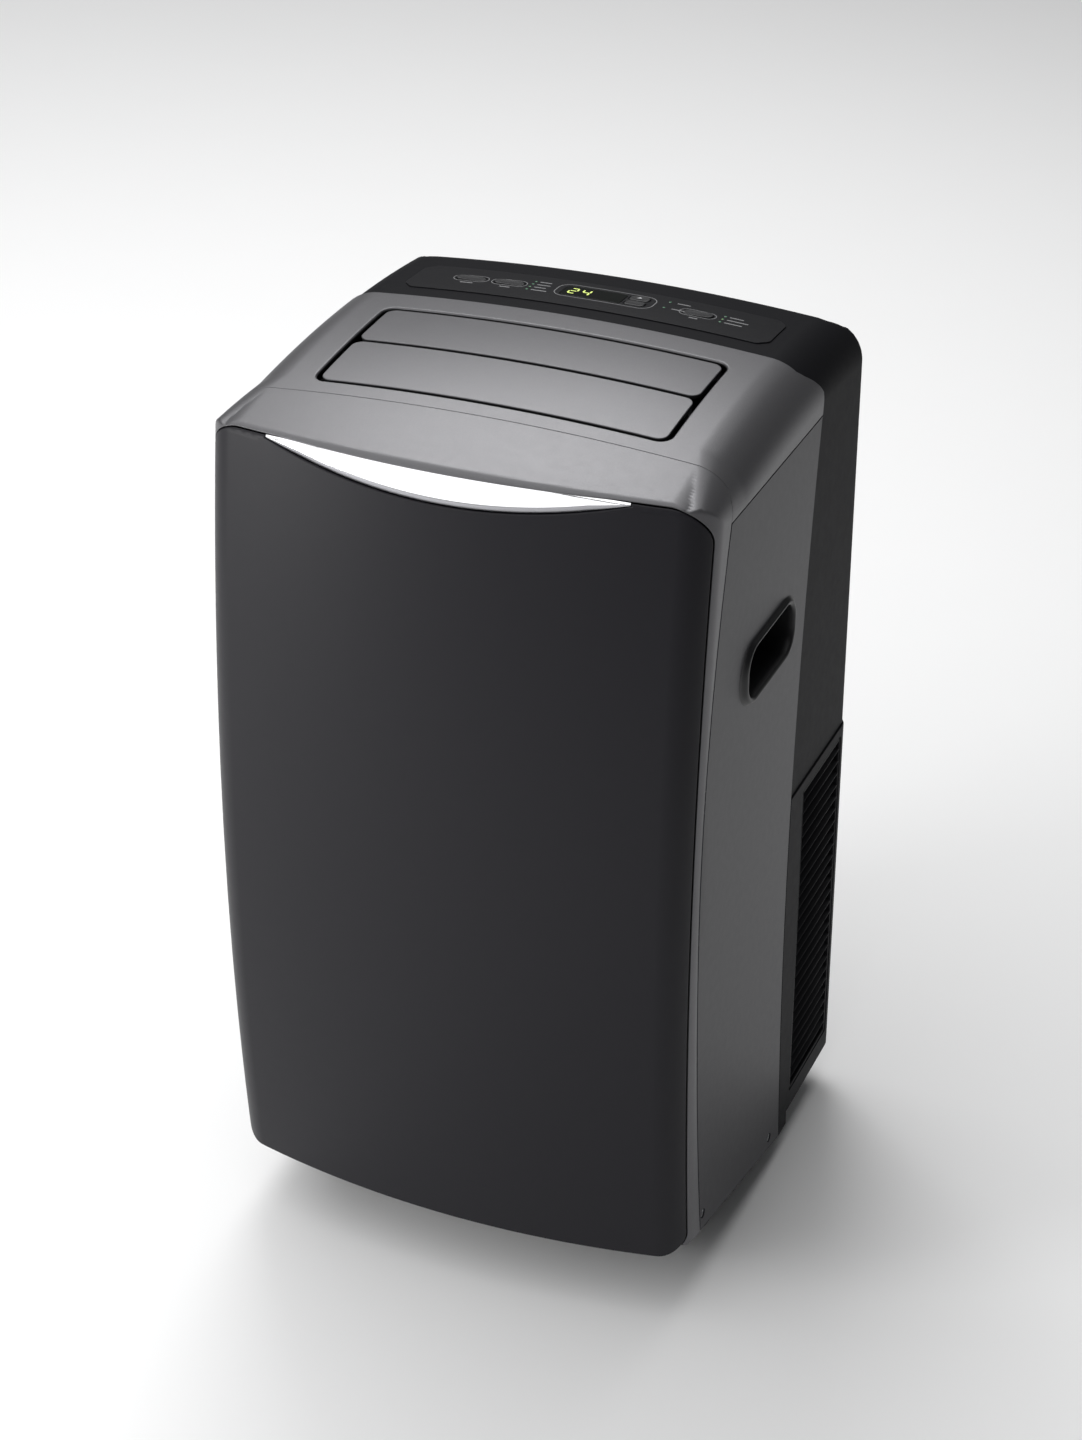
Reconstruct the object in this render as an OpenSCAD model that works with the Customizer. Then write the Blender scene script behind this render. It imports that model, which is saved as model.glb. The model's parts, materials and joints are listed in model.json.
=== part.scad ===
// Portable air conditioner on four casters.
// Millimetres, +Z up. The front faces -Y and +X is to the right of somebody facing the front.
// The origin is on the floor, under the middle of the case.

/* [Case] */
// Width of the case
body_w = 450; // [440:1:470]
// Depth of the case, front bulge to back wall
body_d = 452; // [448:1:470]
// Height of the crown above the floor
body_h = 843; // [835:1:860]
// Thickness of the moulded case walls
skin = 3; // [2:0.5:4]
// Radius of the vertical bulge of the front face
front_bulge_r = 3000; // [2500:50:4000]
// Radius of the front face across its width
front_bow_r = 900; // [800:10:1200]
// Radius of the upright front corners
front_corner_r = 35; // [25:1:40]
// Radius of the top's crown across the width
crown_r = 2100; // [1800:50:3000]
// Radius of the top's slope from front to back
top_arc_r = 1250; // [1100:50:1600]
// Radius where the top rolls over into the sides
top_corner_r = 45; // [35:1:50]
// The same radius at the very front
front_top_r = 14; // [10:1:20]

/* [Air outlet] */
// Half width of the outlet opening
outlet_hw = 160; // [150:1:165]
// Front edge of the outlet opening
outlet_y0 = -94; // [-96:1:-90]
// Rear edge of the outlet opening
outlet_y1 = 49; // [46:1:52]
// Gap round the closed vanes
vane_gap = 3.5; // [2.5:0.5:5]
// Number of upright deflector fins
fin_count = 4; // [4]

/* [Running gear] */
// Radius of a caster wheel
wheel_r = 20; // [18:1:21]
// Trail of a caster wheel behind its swivel
caster_trail = 14; // [10:1:16]
// Radial clearance of a turning fit
fit_gap = 0.05; // [0.03:0.01:0.1]

/* [Rear] */
// Bore radius of the hot-air outlet
exhaust_r = 62.5; // [60:0.5:64]
// Height of the hot-air outlet
exhaust_z = 492; // [491:1:493]

/* [Hidden] */
$fn = 64;
e = 0.01;
FINS = [for (i = [1:fin_count]) str("deflector_", i)];
CORNERS = ["front_right", "front_left", "rear_right", "rear_left"];

charcoal = "#2f2e33";
metallic = "#8e8d91";
side_grey = "#5c5c60";
casing_black = "#1f1f22";

hw = body_w/2;
front_y = -body_d/2;
rear_y = body_d/2;
bulge_z = 345;      // height of the front bulge
apex_y = 70;        // where the top is highest
rear_corner_r = 18; // upright rear corners
rear_top_r = 42;    // top rear edge
seam_z = 780;       // lower edge of the top cover on the sides
panel_z0 = 73;      // bottom of the front panel
panel_z1 = 811;     // top of the front panel
ledge_z = 417;      // joint between the two rear casings
casing_z0 = 41;     // bottom edge of the rear casing
rear_inset = 1.5;   // the upper rear casing sits this far inside the other shells
top_seam_y = -112;  // joint between the front frame and the top cover
rear_seam_y = 79;   // joint between the top cover and the rear casing
strip_w = 14;       // the front frame's strip beside the panel

// ---- master surfaces ----
// How far a wide arc of radius rb, ended by a corner arc of radius rc, falls back at x.
function meet_x(h, rb, rc) = (h - rc)/(1 - rc/rb);
function inset(x, h, rb, rc) =
    let (a = abs(x), xm = meet_x(h, rb, rc), c0 = sqrt(1 - pow(xm/rb, 2)))
    a <= xm ? rb - sqrt(rb*rb - a*a)
            : rb*(1 - c0) + rc*(c0 - sqrt(max(0, 1 - pow(min(1, (a - h + rc)/rc), 2))));
function front_at(x, z, t) =
    front_y + t + front_bulge_r - sqrt(pow(front_bulge_r, 2) - pow(z - bulge_z, 2))
    + inset(x, hw - t, front_bow_r - t, front_corner_r - t);
// The side roll-over tightens between y = -90 and y = -190.
function roll_r(y) =
    top_corner_r - (top_corner_r - front_top_r)*min(1, max(0, (-90 - y)/100));
function top_at(x, y, t) =
    body_h - t - (top_arc_r - sqrt(pow(top_arc_r, 2) - pow(y - apex_y, 2)))
    - inset(x, hw - t, crown_r - t, roll_r(y) - t);
function rear_at(x, t) = rear_y - t - inset(x, hw - t, 60000, rear_corner_r - t);
// Side view of the case at x, t millimetres inside its outer surface.
function slice(x, t) =
    let (y1 = front_at(x, top_at(x, front_y + 40, t), t), z1 = top_at(x, y1, t),
         yr = rear_at(x, t), rr = rear_top_r - t, yc = yr - rr, zc = top_at(x, yc, t) - rr)
    concat([for (i = [0:11]) let (z = z1*i/12) [front_at(x, z, t), z]],
           [for (i = [0:10]) let (y = y1 + (yc - y1)*i/11) [y, top_at(x, y, t)]],
           [for (a = [86:-14:2]) [yc + rr*cos(a), zc + rr*sin(a)]],
           [[yr, zc], [yr, 0]]);
SLICES = [0, 45, 85, 120, 150, 175, 190, 200, 208, 214, 219, 222.5, 224.4, 225];
// The whole case as one convex solid, t millimetres inside its outer surface.
module case_solid(t) {
    k = (hw - t)/hw;
    hull()
        for (s = [-1, 1], x = SLICES)
            translate([s*x*k, 0, 0])
                rotate([90, 0, 90])
                    linear_extrude(e, center = true)
                        polygon(slice(x*k, t));
}
module wall(t0, t1) {
    difference() {
        case_solid(t0);
        case_solid(t1);
    }
}
// Seams of the side view: y of the joint at height z.
function front_seam(z) = -171 + pow(z - 420, 2)/(z > 420 ? 2600 : 4800);
function rear_seam(z) = 59 + pow(z - 280, 2)/6000;
// Lower edge of the side panels, which rises towards the front.
function side_foot(y) = 27 + max(0, 65 - y)*0.2245;

// ---- helpers ----
module side_prism(points) {
    rotate([90, 0, 90])
        linear_extrude(2*hw + 20, center = true)
            polygon(points);
}
module rounded(w, h, r) {
    square([w - 2*r, h], center = true);
    square([w, h - 2*r], center = true);
    for (sx = [-1, 1], sy = [-1, 1])
        translate([sx*(w/2 - r), sy*(h/2 - r)])
            circle(r);
}
module capsule(w, h) {
    square([w - h, h], center = true);
    for (s = [-1, 1])
        translate([s*(w - h)/2, 0])
            circle(h/2);
}
module rod_x(r, x0, x1, y, z) {
    translate([x0, y, z])
        rotate([0, 90, 0])
            cylinder(r = r, h = x1 - x0);
}
module rod_y(r, y0, y1, x, z) {
    translate([x, y1, z])
        rotate([90, 0, 0])
            cylinder(r = r, h = y1 - y0);
}
module block(lo, hi) {
    translate(lo)
        cube(hi - lo);
}

// ---- front ----
// Quarter turn of short chords from angle a0 round the point c.
function turn(c, r, a0) = [for (a = [0:15:90]) [c[0] + r*cos(a0 + a), c[1] + r*sin(a0 + a)]];
panel_top_r = 34;
panel_foot_r = 20;
module panel_outline(grow) {
    x = 222 + grow;
    z0 = panel_z0 - grow;
    z1 = panel_z1 + grow;
    polygon(concat(turn([x - panel_top_r, z1 - panel_top_r], panel_top_r, 0),
                   turn([panel_top_r - x, z1 - panel_top_r], panel_top_r, 90),
                   turn([panel_foot_r - x, z0 + panel_foot_r], panel_foot_r, 180),
                   turn([x - panel_foot_r, z0 + panel_foot_r], panel_foot_r, 270)));
}
// Crescent between two arcs through the same tips.
module crescent(grow) {
    tip_x = 161;
    tip_z = panel_z1 - 3;
    low_sag = 22;
    low_r = (tip_x*tip_x + low_sag*low_sag)/(2*low_sag);
    translate([0, tip_z - low_sag + low_r])
        intersection() {
            circle(low_r + grow, $fn = 240);
            translate([-tip_x - 2*grow, -low_r - 30])
                square([2*tip_x + 4*grow, 80]);
        }
}
module to_front() {
    translate([0, -80, 0])
        rotate([90, 0, 0])
            linear_extrude(200)
                children();
}
module front_panel() {
    color(charcoal)
        difference() {
            intersection() {
                wall(0, 4);
                to_front()
                    panel_outline(0);
                translate([0, -strip_w, 0])
                    frame_side_view();
            }
            to_front()
                crescent(0.3);
            block([-hw, front_y - 1, panel_z1], [hw, 0, body_h]);
        }
}
module chrome_trim() {
    color("#e8e8ea")
        intersection() {
            wall(0.3, 4.2);
            to_front()
                difference() {
                    crescent(0);
                    translate([-hw, panel_z1])
                        square([2*hw, 60]);
                }
        }
}
module frame_side_view() {
    side_prism(concat(
        [for (i = [0:16]) let (z = 60 + (790 - 60)*i/16) [front_seam(z), z]],
        [[-117, 797], [top_seam_y, 806], [top_seam_y, body_h + 20], [front_y - 20, body_h + 20],
         [front_y - 20, 60]]));
}
// Band over the panel, the strips beside it and the flange that the panel clips to.
module front_frame() {
    color(metallic)
        difference() {
            union() {
                difference() {
                    intersection() {
                        case_solid(0);
                        frame_side_view();
                    }
                    intersection() {
                        to_front()
                            panel_outline(0.6);
                        translate([0, 0.6 - strip_w, 0])
                            frame_side_view();
                    }
                    case_solid(5.5);
                }
                difference() {
                    intersection() {
                        case_solid(4.4);
                        frame_side_view();
                        to_front()
                            panel_outline(2);
                    }
                    to_front()
                        panel_outline(-22);
                    case_solid(8);
                }
            }
            side_prism([[front_y - 30, 0], [front_y - 30, panel_z0], [-190, panel_z0],
                        [-180, side_foot(-180)], [0, side_foot(0)], [0, 0]]);
        }
}

// ---- top and sides ----
function soft_rect(x, y0, y1, r) =
    concat(turn([x - r, y1 - r], r, 0), turn([r - x, y1 - r], r, 90),
           turn([r - x, y0 + r], r, 180), turn([x - r, y0 + r], r, 270));
module vane_outline(y0, y1) {
    polygon(soft_rect(outlet_hw - vane_gap, y0, y1, 9));
}
module outlet_outline(grow) {
    translate([0, (outlet_y0 + outlet_y1)/2])
        rounded(2*(outlet_hw + grow), outlet_y1 - outlet_y0 + 2*grow, 12 + grow);
}
module rear_zone(y_off) {
    side_prism(concat(
        [[rear_seam_y + y_off, body_h + 20], [rear_seam_y + y_off, 826], [84 + y_off, 821],
         [93 + y_off, 814], [101 + y_off, 806], [104.5 + y_off, 800]],
        [for (i = [0:12]) let (z = 792 - i*64) [rear_seam(z) + y_off, z]],
        [[rear_seam(20) + y_off, 0], [rear_y + 20, 0], [rear_y + 20, body_h + 20]]));
}
module top_cover() {
    color(metallic)
        difference() {
            wall(0, skin);
            block([-hw - 1, front_y - 1, -1], [hw + 1, rear_y + 1, seam_z]);
            translate([0, 0.4, 0])
                frame_side_view();
            rear_zone(-0.2);
            translate([0, 0, 700])
                linear_extrude(200)
                    outlet_outline(0);
        }
}
handle_y = -19.5;
handle_z = 613.5;
grip_w = 117;
grip_h = 53;
grip_r = 22;
module handle_hole(grow) {
    rotate([90, 0, 90])
        linear_extrude(200)
            translate([handle_y, handle_z])
                rounded(grip_w + 2*grow, grip_h + 2*grow, grip_r + grow);
}
screw_sites = [[-140, 92], [40, 46]];
module side_panel() {
    difference() {
        wall(0, skin);
        block([-hw - 1, front_y - 1, seam_z - 0.3], [hw + 1, rear_y + 1, body_h + 1]);
        block([-hw - 1, front_y - 1, -1], [hw - 40, rear_y + 1, body_h + 1]);
        translate([0, 0.4, 0])
            frame_side_view();
        rear_zone(-0.4);
        side_prism([[front_y - 1, -1], [front_y - 1, side_foot(front_y)], [65, 27], [100, 27], [100, -1]]);
        translate([hw - 30, 0, 0])
            handle_hole(0);
        for (p = screw_sites)
            rod_x(4.6, hw - 20, hw + 1, p[0], p[1]);
    }
}
module side_panel_right() {
    color(side_grey)
        side_panel();
}
module side_panel_left() {
    color(side_grey)
        mirror([1, 0, 0])
            side_panel();
}
// Finger recess: a closed cup with a raised rim round the hole in the side panel.
// Finger cup with a raised rim outside the panel and a flange behind it.
cup_depth = 34;
cup_wall = 2.5;
rim_steps = [[1.4, 11, 3.2], [2.8, 6.5, 2], [4, 1.6, 0.8]];  // height, growth in length, in height
module handle_cup() {
    difference() {
        union() {
            translate([hw - cup_depth, 0, 0])
                intersection() {
                    handle_hole(-0.4);
                    block([0, -200, 0], [cup_depth + 1.2, 200, body_h]);
                }
            translate([hw - skin - 3, 0, 0])
                intersection() {
                    handle_hole(6);
                    block([0, -200, 0], [2.8, 200, body_h]);
                }
            for (p = rim_steps)
                translate([hw + fit_gap, handle_y, handle_z])
                    rotate([90, 0, 90])
                        linear_extrude(p[0] - fit_gap)
                            rounded(grip_w + 2*p[1], grip_h + 2*p[2], grip_r + p[2]);
        }
        translate([hw - cup_depth + cup_wall, 0, 0])
            handle_hole(-3);
    }
}
module handle_cup_right() {
    color(casing_black)
        handle_cup();
}
module handle_cup_left() {
    color(casing_black)
        mirror([1, 0, 0])
            handle_cup();
}

// ---- control panel ----
key_z = 822;
key_y = 134;
key_sites = [["power_key", -118], ["mode_key", -81], ["fan_key", 97]];
temp_x = 40;
module overlay_outline() {
    polygon([[-163, 101], [163, 101], [172, 110], [172, 152], [163, 161], [-163, 161],
             [-172, 152], [-172, 110]]);
}
module key_shape(grow) {
    capsule(29 + 2*grow, 10 + 2*grow);
}
module temp_shape(grow) {
    rounded(19 + 2*grow, 10.5 + 2*grow, 3.5 + grow);
}
module key_holes(grow) {
    for (k = key_sites)
        translate([k[1], key_y])
            key_shape(grow);
    for (s = [-1, 1])
        translate([temp_x, key_y + 2 + s*6.2])
            temp_shape(grow);
}
module lens_outline() {
    translate([-1, 135])
        rounded(58, 24, 4);
}
led_sites = concat([for (i = [0:3]) [-60, 124 + 7*i]], [[66, 148], [66, 133]],
                   [for (i = [0:2]) [120, 127 + 7*i]]);
module key(pos, z_top) {
    color("#3a3a3e")
        translate([pos[0], pos[1], 0]) {
            translate([0, 0, key_z])
                linear_extrude(z_top - key_z)
                    children(0);
            translate([0, 0, key_z])
                linear_extrude(2)
                    children(1);
        }
}
module oval_key(i) {
    x = key_sites[i][1];
    key([x, key_y], top_at(x, key_y, 0) + 0.3) {
        key_shape(0);
        key_shape(1.5);
    }
}
module power_key() {
    oval_key(0);
}
module mode_key() {
    oval_key(1);
}
module fan_key() {
    oval_key(2);
}
module temp_key(s) {
    key([temp_x, key_y + 2 + s*6.2], top_at(temp_x, key_y, 0) + 0.3) {
        temp_shape(0);
        translate([0, s*0.6])
            temp_shape(0.4);
    }
}
module temp_up_key() {
    temp_key(1);
}
module temp_down_key() {
    temp_key(-1);
}
module control_overlay() {
    color("#232326")
        intersection() {
            wall(0.3, rear_inset);
            translate([0, 0, 780])
                linear_extrude(80)
                    difference() {
                        overlay_outline();
                        key_holes(0.5);
                        lens_outline();
                        for (p = led_sites)
                            translate(p)
                                circle(1.4, $fn = 16);
                    }
        }
}
module display_lens() {
    color([0.05, 0.06, 0.05, 0.8])
        intersection() {
            wall(0.1, rear_inset);
            translate([0, 0, 780])
                linear_extrude(80)
                    translate([-1, 135])
                        rounded(57.4, 23.4, 3.7);
        }
}
// Circuit board with the digit block and the indicator lamps soldered to it.
board_z = 814;
module display_board() {
    color("#1d5c34") {
        block([-140, 110, board_z - 2], [135, 158, board_z]);
        block([-26, 126, board_z], [24, 146, 826]);
    }
    color("#9fe08a")
        for (p = led_sites)
            translate([p[0], p[1], board_z - 1])
                cylinder(r = 1.2, h = top_at(p[0], p[1], 0.2) + 1 - board_z);
}

// ---- rear casing ----
door_z0 = 592;
door_z1 = 772;
door_hw = 150;
door_gap = 3.4;     // room for the door's foot to swing
module rear_upper_casing() {
    color(casing_black)
        difference() {
            intersection() {
                wall(rear_inset, rear_inset + skin);
                rear_zone(0);
            }
            block([-hw, front_y, -1], [hw, rear_y + 1, ledge_z]);
            translate([0, 0, 780])
                linear_extrude(80) {
                    key_holes(0.6);
                    translate([-1, 135])
                        rounded(52, 20, 3);
                    for (p = led_sites)
                        translate(p)
                            circle(1.6, $fn = 16);
                }
            block([-door_hw - 1, rear_y - 12, door_z0 - door_gap], [door_hw + 1, rear_y + 1, door_z1 + 1]);
            rod_y(exhaust_r + 11.4, 180, rear_y + 1, 0, exhaust_z);
        }
}
grille_z0 = 62;
grille_z1 = 406;
grille_y0 = 96;
grille_y1 = 204;
back_grille_z1 = 392;
module rear_lower_casing() {
    color(casing_black)
        difference() {
            intersection() {
                wall(0, skin);
                rear_zone(0);
            }
            block([-hw - 1, front_y, ledge_z - 0.3], [hw + 1, rear_y + 1, body_h + 1]);
            block([-hw - 1, front_y, -1], [hw + 1, 91, 26]);
            block([-hw - 1, 91, -1], [hw + 1, rear_y + 1, casing_z0]);
            block([-hw - 1, grille_y0, grille_z0], [hw + 1, grille_y1, grille_z1]);
            block([-150, 180, 90], [150, rear_y + 1, back_grille_z1]);
            rod_y(9.5, 180, rear_y + 1, drain_x, drain_z);
            rod_y(11.3, 180, rear_y + 1, cord_x, cord_z);
            for (p = lower_screws)
                rod_y(4.6, 180, rear_y + 1, p[0], p[1]);
        }
}
// Louvred grille in its own plane: w wide, h high, slats leaning outwards.
slat_pitch = 13.2;
module louvres(w, h, deep) {
    n = floor((h - 12)/slat_pitch);
    rotate([90, 0, 90])
        translate([0, 0, -w/2]) {
            linear_extrude(w)
                for (i = [0:n - 1])
                    translate([0, 9 + slat_pitch*(i + 0.5)])
                        rotate(-38)
                            square([deep + 2, 2.4], center = true);
            for (s = [0, w - 4])
                translate([0, 0, s])
                    linear_extrude(4)
                        translate([-deep/2, 0])
                            square([deep, h]);
            linear_extrude(w)
                for (z = [0, h - 4])
                    translate([-deep/2, z])
                        square([deep, 4]);
        }
}
module side_grille() {
    deep = 8;
    translate([hw - 0.6 - deep/2, (grille_y0 + grille_y1)/2, grille_z0 + 0.3])
        rotate([0, 0, -90])
            louvres(grille_y1 - grille_y0 - 0.6, grille_z1 - grille_z0 - 0.6, deep);
}
module side_grille_right() {
    color(casing_black)
        side_grille();
}
module side_grille_left() {
    color(casing_black)
        mirror([1, 0, 0])
            side_grille();
}
module rear_lower_grille() {
    color(casing_black)
        translate([0, rear_y - 4.8, 90.3])
            louvres(299.4, back_grille_z1 - 90.6, 8);
}
hinge_y = rear_y - 8;
hinge_z = door_z0 + 4;
module intake_frame() {
    color(casing_black)
        difference() {
            block([-door_hw - 14, 204, door_z0 - 10], [door_hw + 14, rear_y - 5.2, door_z1 + 12]);
            block([-door_hw - 0.8, 200, door_z0 - door_gap], [door_hw + 0.8, rear_y, door_z1 + 0.8]);
            rod_x(2.5 + fit_gap, -door_hw - 7, door_hw + 7, hinge_y, hinge_z);
        }
}
module filter_door() {
    color(casing_black) {
        difference() {
            union() {
                translate([0, rear_y - 6.6, door_z0])
                    louvres(2*door_hw - 1, door_z1 - door_z0, 8);
                block([-door_hw + 0.5, rear_y - 10.6, door_z0], [door_hw - 0.5, rear_y - 2.6, door_z0 + 9]);
            }
            translate([0, rear_y - 2.6, door_z1 - 8])
                rotate([90, 0, 0])
                    linear_extrude(3)
                        capsule(50, 8);
        }
        for (s = [-1, 1])
            rod_x(2.5, s > 0 ? door_hw - 4 : -door_hw - 6, s > 0 ? door_hw + 6 : -door_hw + 4,
                  hinge_y, hinge_z);
    }
}
module filter_mesh() {
    color("#6c7076")
        difference() {
            block([-144, 207, door_z0 + 12], [144, 214.6, door_z1 - 6]);
            for (i = [0:5], j = [0:2])
                block([-140 + i*47, 205, door_z0 + 16 + j*52], [-97 + i*47, 212, door_z0 + 64 + j*52]);
        }
}
module exhaust_collar() {
    color("#2b2b2e")
        difference() {
            union() {
                rod_y(exhaust_r + 4, 190, rear_y - 1, 0, exhaust_z);
                rod_y(exhaust_r + 11, rear_y - 6, rear_y - 1, 0, exhaust_z);
            }
            rod_y(exhaust_r, 180, rear_y, 0, exhaust_z);
        }
}
cord_x = -185;
cord_z = 66;
drain_x = 170;
drain_z = 66;
module cord_gland() {
    color("#151517")
        difference() {
            union() {
                rod_y(8, rear_y - 14, rear_y - 1, cord_x, cord_z);
                rod_y(11, rear_y - 3, rear_y - 0.5, cord_x, cord_z);
            }
            rod_y(4.2, rear_y - 15, rear_y, cord_x, cord_z);
        }
}
module drain_spout() {
    color("#dcdcdc")
        difference() {
            union() {
                rod_y(9, tub[2] - 6, rear_y - 3.5, drain_x, drain_z);
                rod_y(13, tub[2] - 6, tub[2] - 3, drain_x, drain_z);
            }
            rod_y(6, tub[2] - 7, rear_y, drain_x, drain_z);
        }
}
module drain_plug() {
    color("#151517") {
        rod_y(6 - fit_gap, 206, rear_y - 3, drain_x, drain_z);
        rod_y(8.5, rear_y - 3, rear_y - 0.2, drain_x, drain_z);
    }
}

// ---- air outlet ----
duct_hw = 162;
duct_z0 = 700;
duct_z1 = 818;
rear_axis = [outlet_y1 - vane_gap - 13, 826];
split_y = -19;
front_axis = [split_y - 1.5 - 13, 822.4];
fin_y = -25;
fin_x = [for (i = [1:fin_count]) (i - (fin_count + 1)/2)*66];
rib_z = 766;
module air_duct() {
    color("#26262a")
        difference() {
            union() {
                block([-duct_hw, -103, duct_z0], [duct_hw, 56, duct_z1]);
                for (s = [-1, 1], a = [rear_axis, front_axis])
                    rod_x(5, s > 0 ? duct_hw - 3 : -duct_hw, s > 0 ? duct_hw : -duct_hw + 3, a[0], a[1]);
                for (s = [-1, 1], a = [rear_axis, front_axis])
                    block([s > 0 ? duct_hw - 3 : -duct_hw, a[0] - 5, 810],
                          [s > 0 ? duct_hw : -duct_hw + 3, a[0] + 5, a[1]]);
            }
            difference() {
                block([3 - duct_hw, -100, duct_z0 - 1], [duct_hw - 3, 53, duct_z1 + 1]);
                block([-duct_hw, fin_y - 6, rib_z], [duct_hw, fin_y + 6, rib_z + 8]);
            }
            for (x = fin_x)
                translate([x, fin_y, rib_z - 1])
                    cylinder(r = 2 + fit_gap, h = 10);
            for (a = [rear_axis, front_axis])
                rod_x(2.5 + fit_gap, -duct_hw - 1, duct_hw + 1, a[0], a[1]);
        }
}
module vane(y0, y1, axis) {
    color("#77767b") {
        difference() {
            intersection() {
                case_solid(0.8);
                translate([0, 0, 810])
                    linear_extrude(60)
                        vane_outline(y0, y1);
            }
            case_solid(4.3);
        }
        for (s = [-1, 1]) {
            rod_x(5, s > 0 ? 149 : -155, s > 0 ? 155 : -149, axis[0], axis[1]);
            block([s > 0 ? 149 : -155, axis[0] - 4, axis[1]],
                  [s > 0 ? 155 : -149, axis[0] + 4, top_at(155, axis[0], 2)]);
            rod_x(2.5, s > 0 ? 152 : -duct_hw, s > 0 ? duct_hw : -152, axis[0], axis[1]);
        }
    }
}
module rear_vane() {
    vane(split_y + 1.5, outlet_y1 - vane_gap, rear_axis);
}
module front_vane() {
    vane(outlet_y0 + vane_gap, split_y - 1.5, front_axis);
}
link_y = fin_y + 22;
module deflector(i) {
    color("#38383c")
        translate([fin_x[i - 1], 0, 0]) {
            block([-1, fin_y - 28, rib_z + 9], [1, fin_y + 28, 806]);
            translate([0, fin_y, rib_z + 0.5])
                cylinder(r = 2, h = 12);
            translate([0, fin_y, rib_z + 8.3])
                cylinder(r = 4, h = 2);
            translate([0, link_y, rib_z + 0.5])
                cylinder(r = 1.5, h = 12);
        }
}
module deflector_bar() {
    color("#4a4a4e")
        difference() {
            translate([0, link_y, rib_z + 2])
                linear_extrude(5)
                    capsule(fin_x[fin_count - 1]*2 + 10, 8);
            for (x = fin_x)
                translate([x, link_y, rib_z])
                    cylinder(r = 1.5 + fit_gap, h = 10);
        }
}
module vane_motor() {
    color("#b9bcc0") {
        rod_x(14, 163, 181, rear_axis[0], 800);
        rod_x(3, 162, 163, rear_axis[0], 800);
    }
}

// ---- evaporator side ----
blower_y = -20;
blower_zc = 585;
blower_r = 80;
module blower_housing() {
    color("#e4e4e2")
        difference() {
            union() {
                rod_x(103, -126, 126, blower_y, blower_zc);
                block([-126, -103, blower_zc], [126, 0, duct_z0]);
            }
            rod_x(100, -123, 123, blower_y, blower_zc);
            block([-123, -100, blower_zc], [123, -3, duct_z0 + 1]);
            rod_x(64, -130, 130, blower_y, blower_zc);
        }
}
blade_count = 30;
module blower_wheel() {
    color("#3c4a66") {
        translate([-115, blower_y, blower_zc])
            rotate([90, 0, 90])
                difference() {
                    union() {
                        for (i = [0:blade_count - 1])
                            rotate(360/blade_count*i)
                                translate([blower_r - 9, 0])
                                    rotate(35)
                                        translate([0, -0.8])
                                            linear_extrude(230)
                                                square([12, 1.6], center = true);
                        for (x = [0, 113.5, 227])
                            translate([0, 0, x])
                                difference() {
                                    cylinder(r = blower_r, h = 3);
                                    translate([0, 0, -1])
                                        cylinder(r = x == 113.5 ? 1 : blower_r - 16, h = 5);
                                }
                    }
                    translate([0, 0, 100])
                        cylinder(r = 3, h = 30);
                }
        rod_x(5, -20, 150, blower_y, blower_zc);
    }
}
module blower_motor() {
    color("#a9abae")
        difference() {
            union() {
                rod_x(42, 130, 178, blower_y, blower_zc);
                block([126, blower_y - 78, blower_zc - 8], [132, blower_y + 78, blower_zc + 8]);
            }
            rod_x(5 + fit_gap, 120, 160, blower_y, blower_zc);
        }
}
// Finned coil between lo and hi: fins between two rails and two end plates, and the tubes' return bends.
fin_pitch = 10;
fin_t = 1.6;
rail_t = 3;
plate_t = 2;
tube_r = 4;
bend_r = 9;
module finned_coil(lo, hi, tube_z0, tube_step, tubes) {
    mid_y = (lo[1] + hi[1])/2;
    depth = hi[1] - lo[1];
    n = floor((hi[0] - lo[0])/fin_pitch);
    color("#c3c6ca") {
        for (i = [1:n - 1])
            translate([lo[0] + (hi[0] - lo[0])*i/n, mid_y, (lo[2] + hi[2])/2])
                cube([fin_t, depth, hi[2] - lo[2] - rail_t], center = true);
        block([lo[0], lo[1], lo[2]], [hi[0], hi[1], lo[2] + rail_t]);
        block([lo[0], lo[1], hi[2] - rail_t], hi);
        for (s = [-1, 1])
            translate([s*(hi[0] + plate_t/2), mid_y, (lo[2] + hi[2])/2])
                cube([plate_t, depth + 8, hi[2] - lo[2] + 12], center = true);
    }
    color("#b0643a")
        for (s = [-1, 1])
            for (i = [0:tubes - 1])
                translate([s*(hi[0] + plate_t/2), mid_y, tube_z0 + i*tube_step])
                    rotate([0, 0, s > 0 ? -90 : 90])
                        rotate_extrude(angle = 180, $fn = 32)
                            translate([bend_r, 0])
                                circle(tube_r, $fn = 20);
}
module evaporator_coil() {
    finned_coil([-160, 128, 590], [160, 172, 770], 612, 27, 6);
}
module mid_deck() {
    color("#d8d8d6")
        difference() {
            union() {
                block([-205, -150, 560], [205, 180, 564]);
                block([-175, 112, 564], [175, 180, 580]);
            }
            block([-171, 116, 564.5], [171, 176, 581]);
            rod_x(106, -130, 130, blower_y, blower_zc);
            block([-140, -125, 559], [182, 92, 565]);
        }
}

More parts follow.
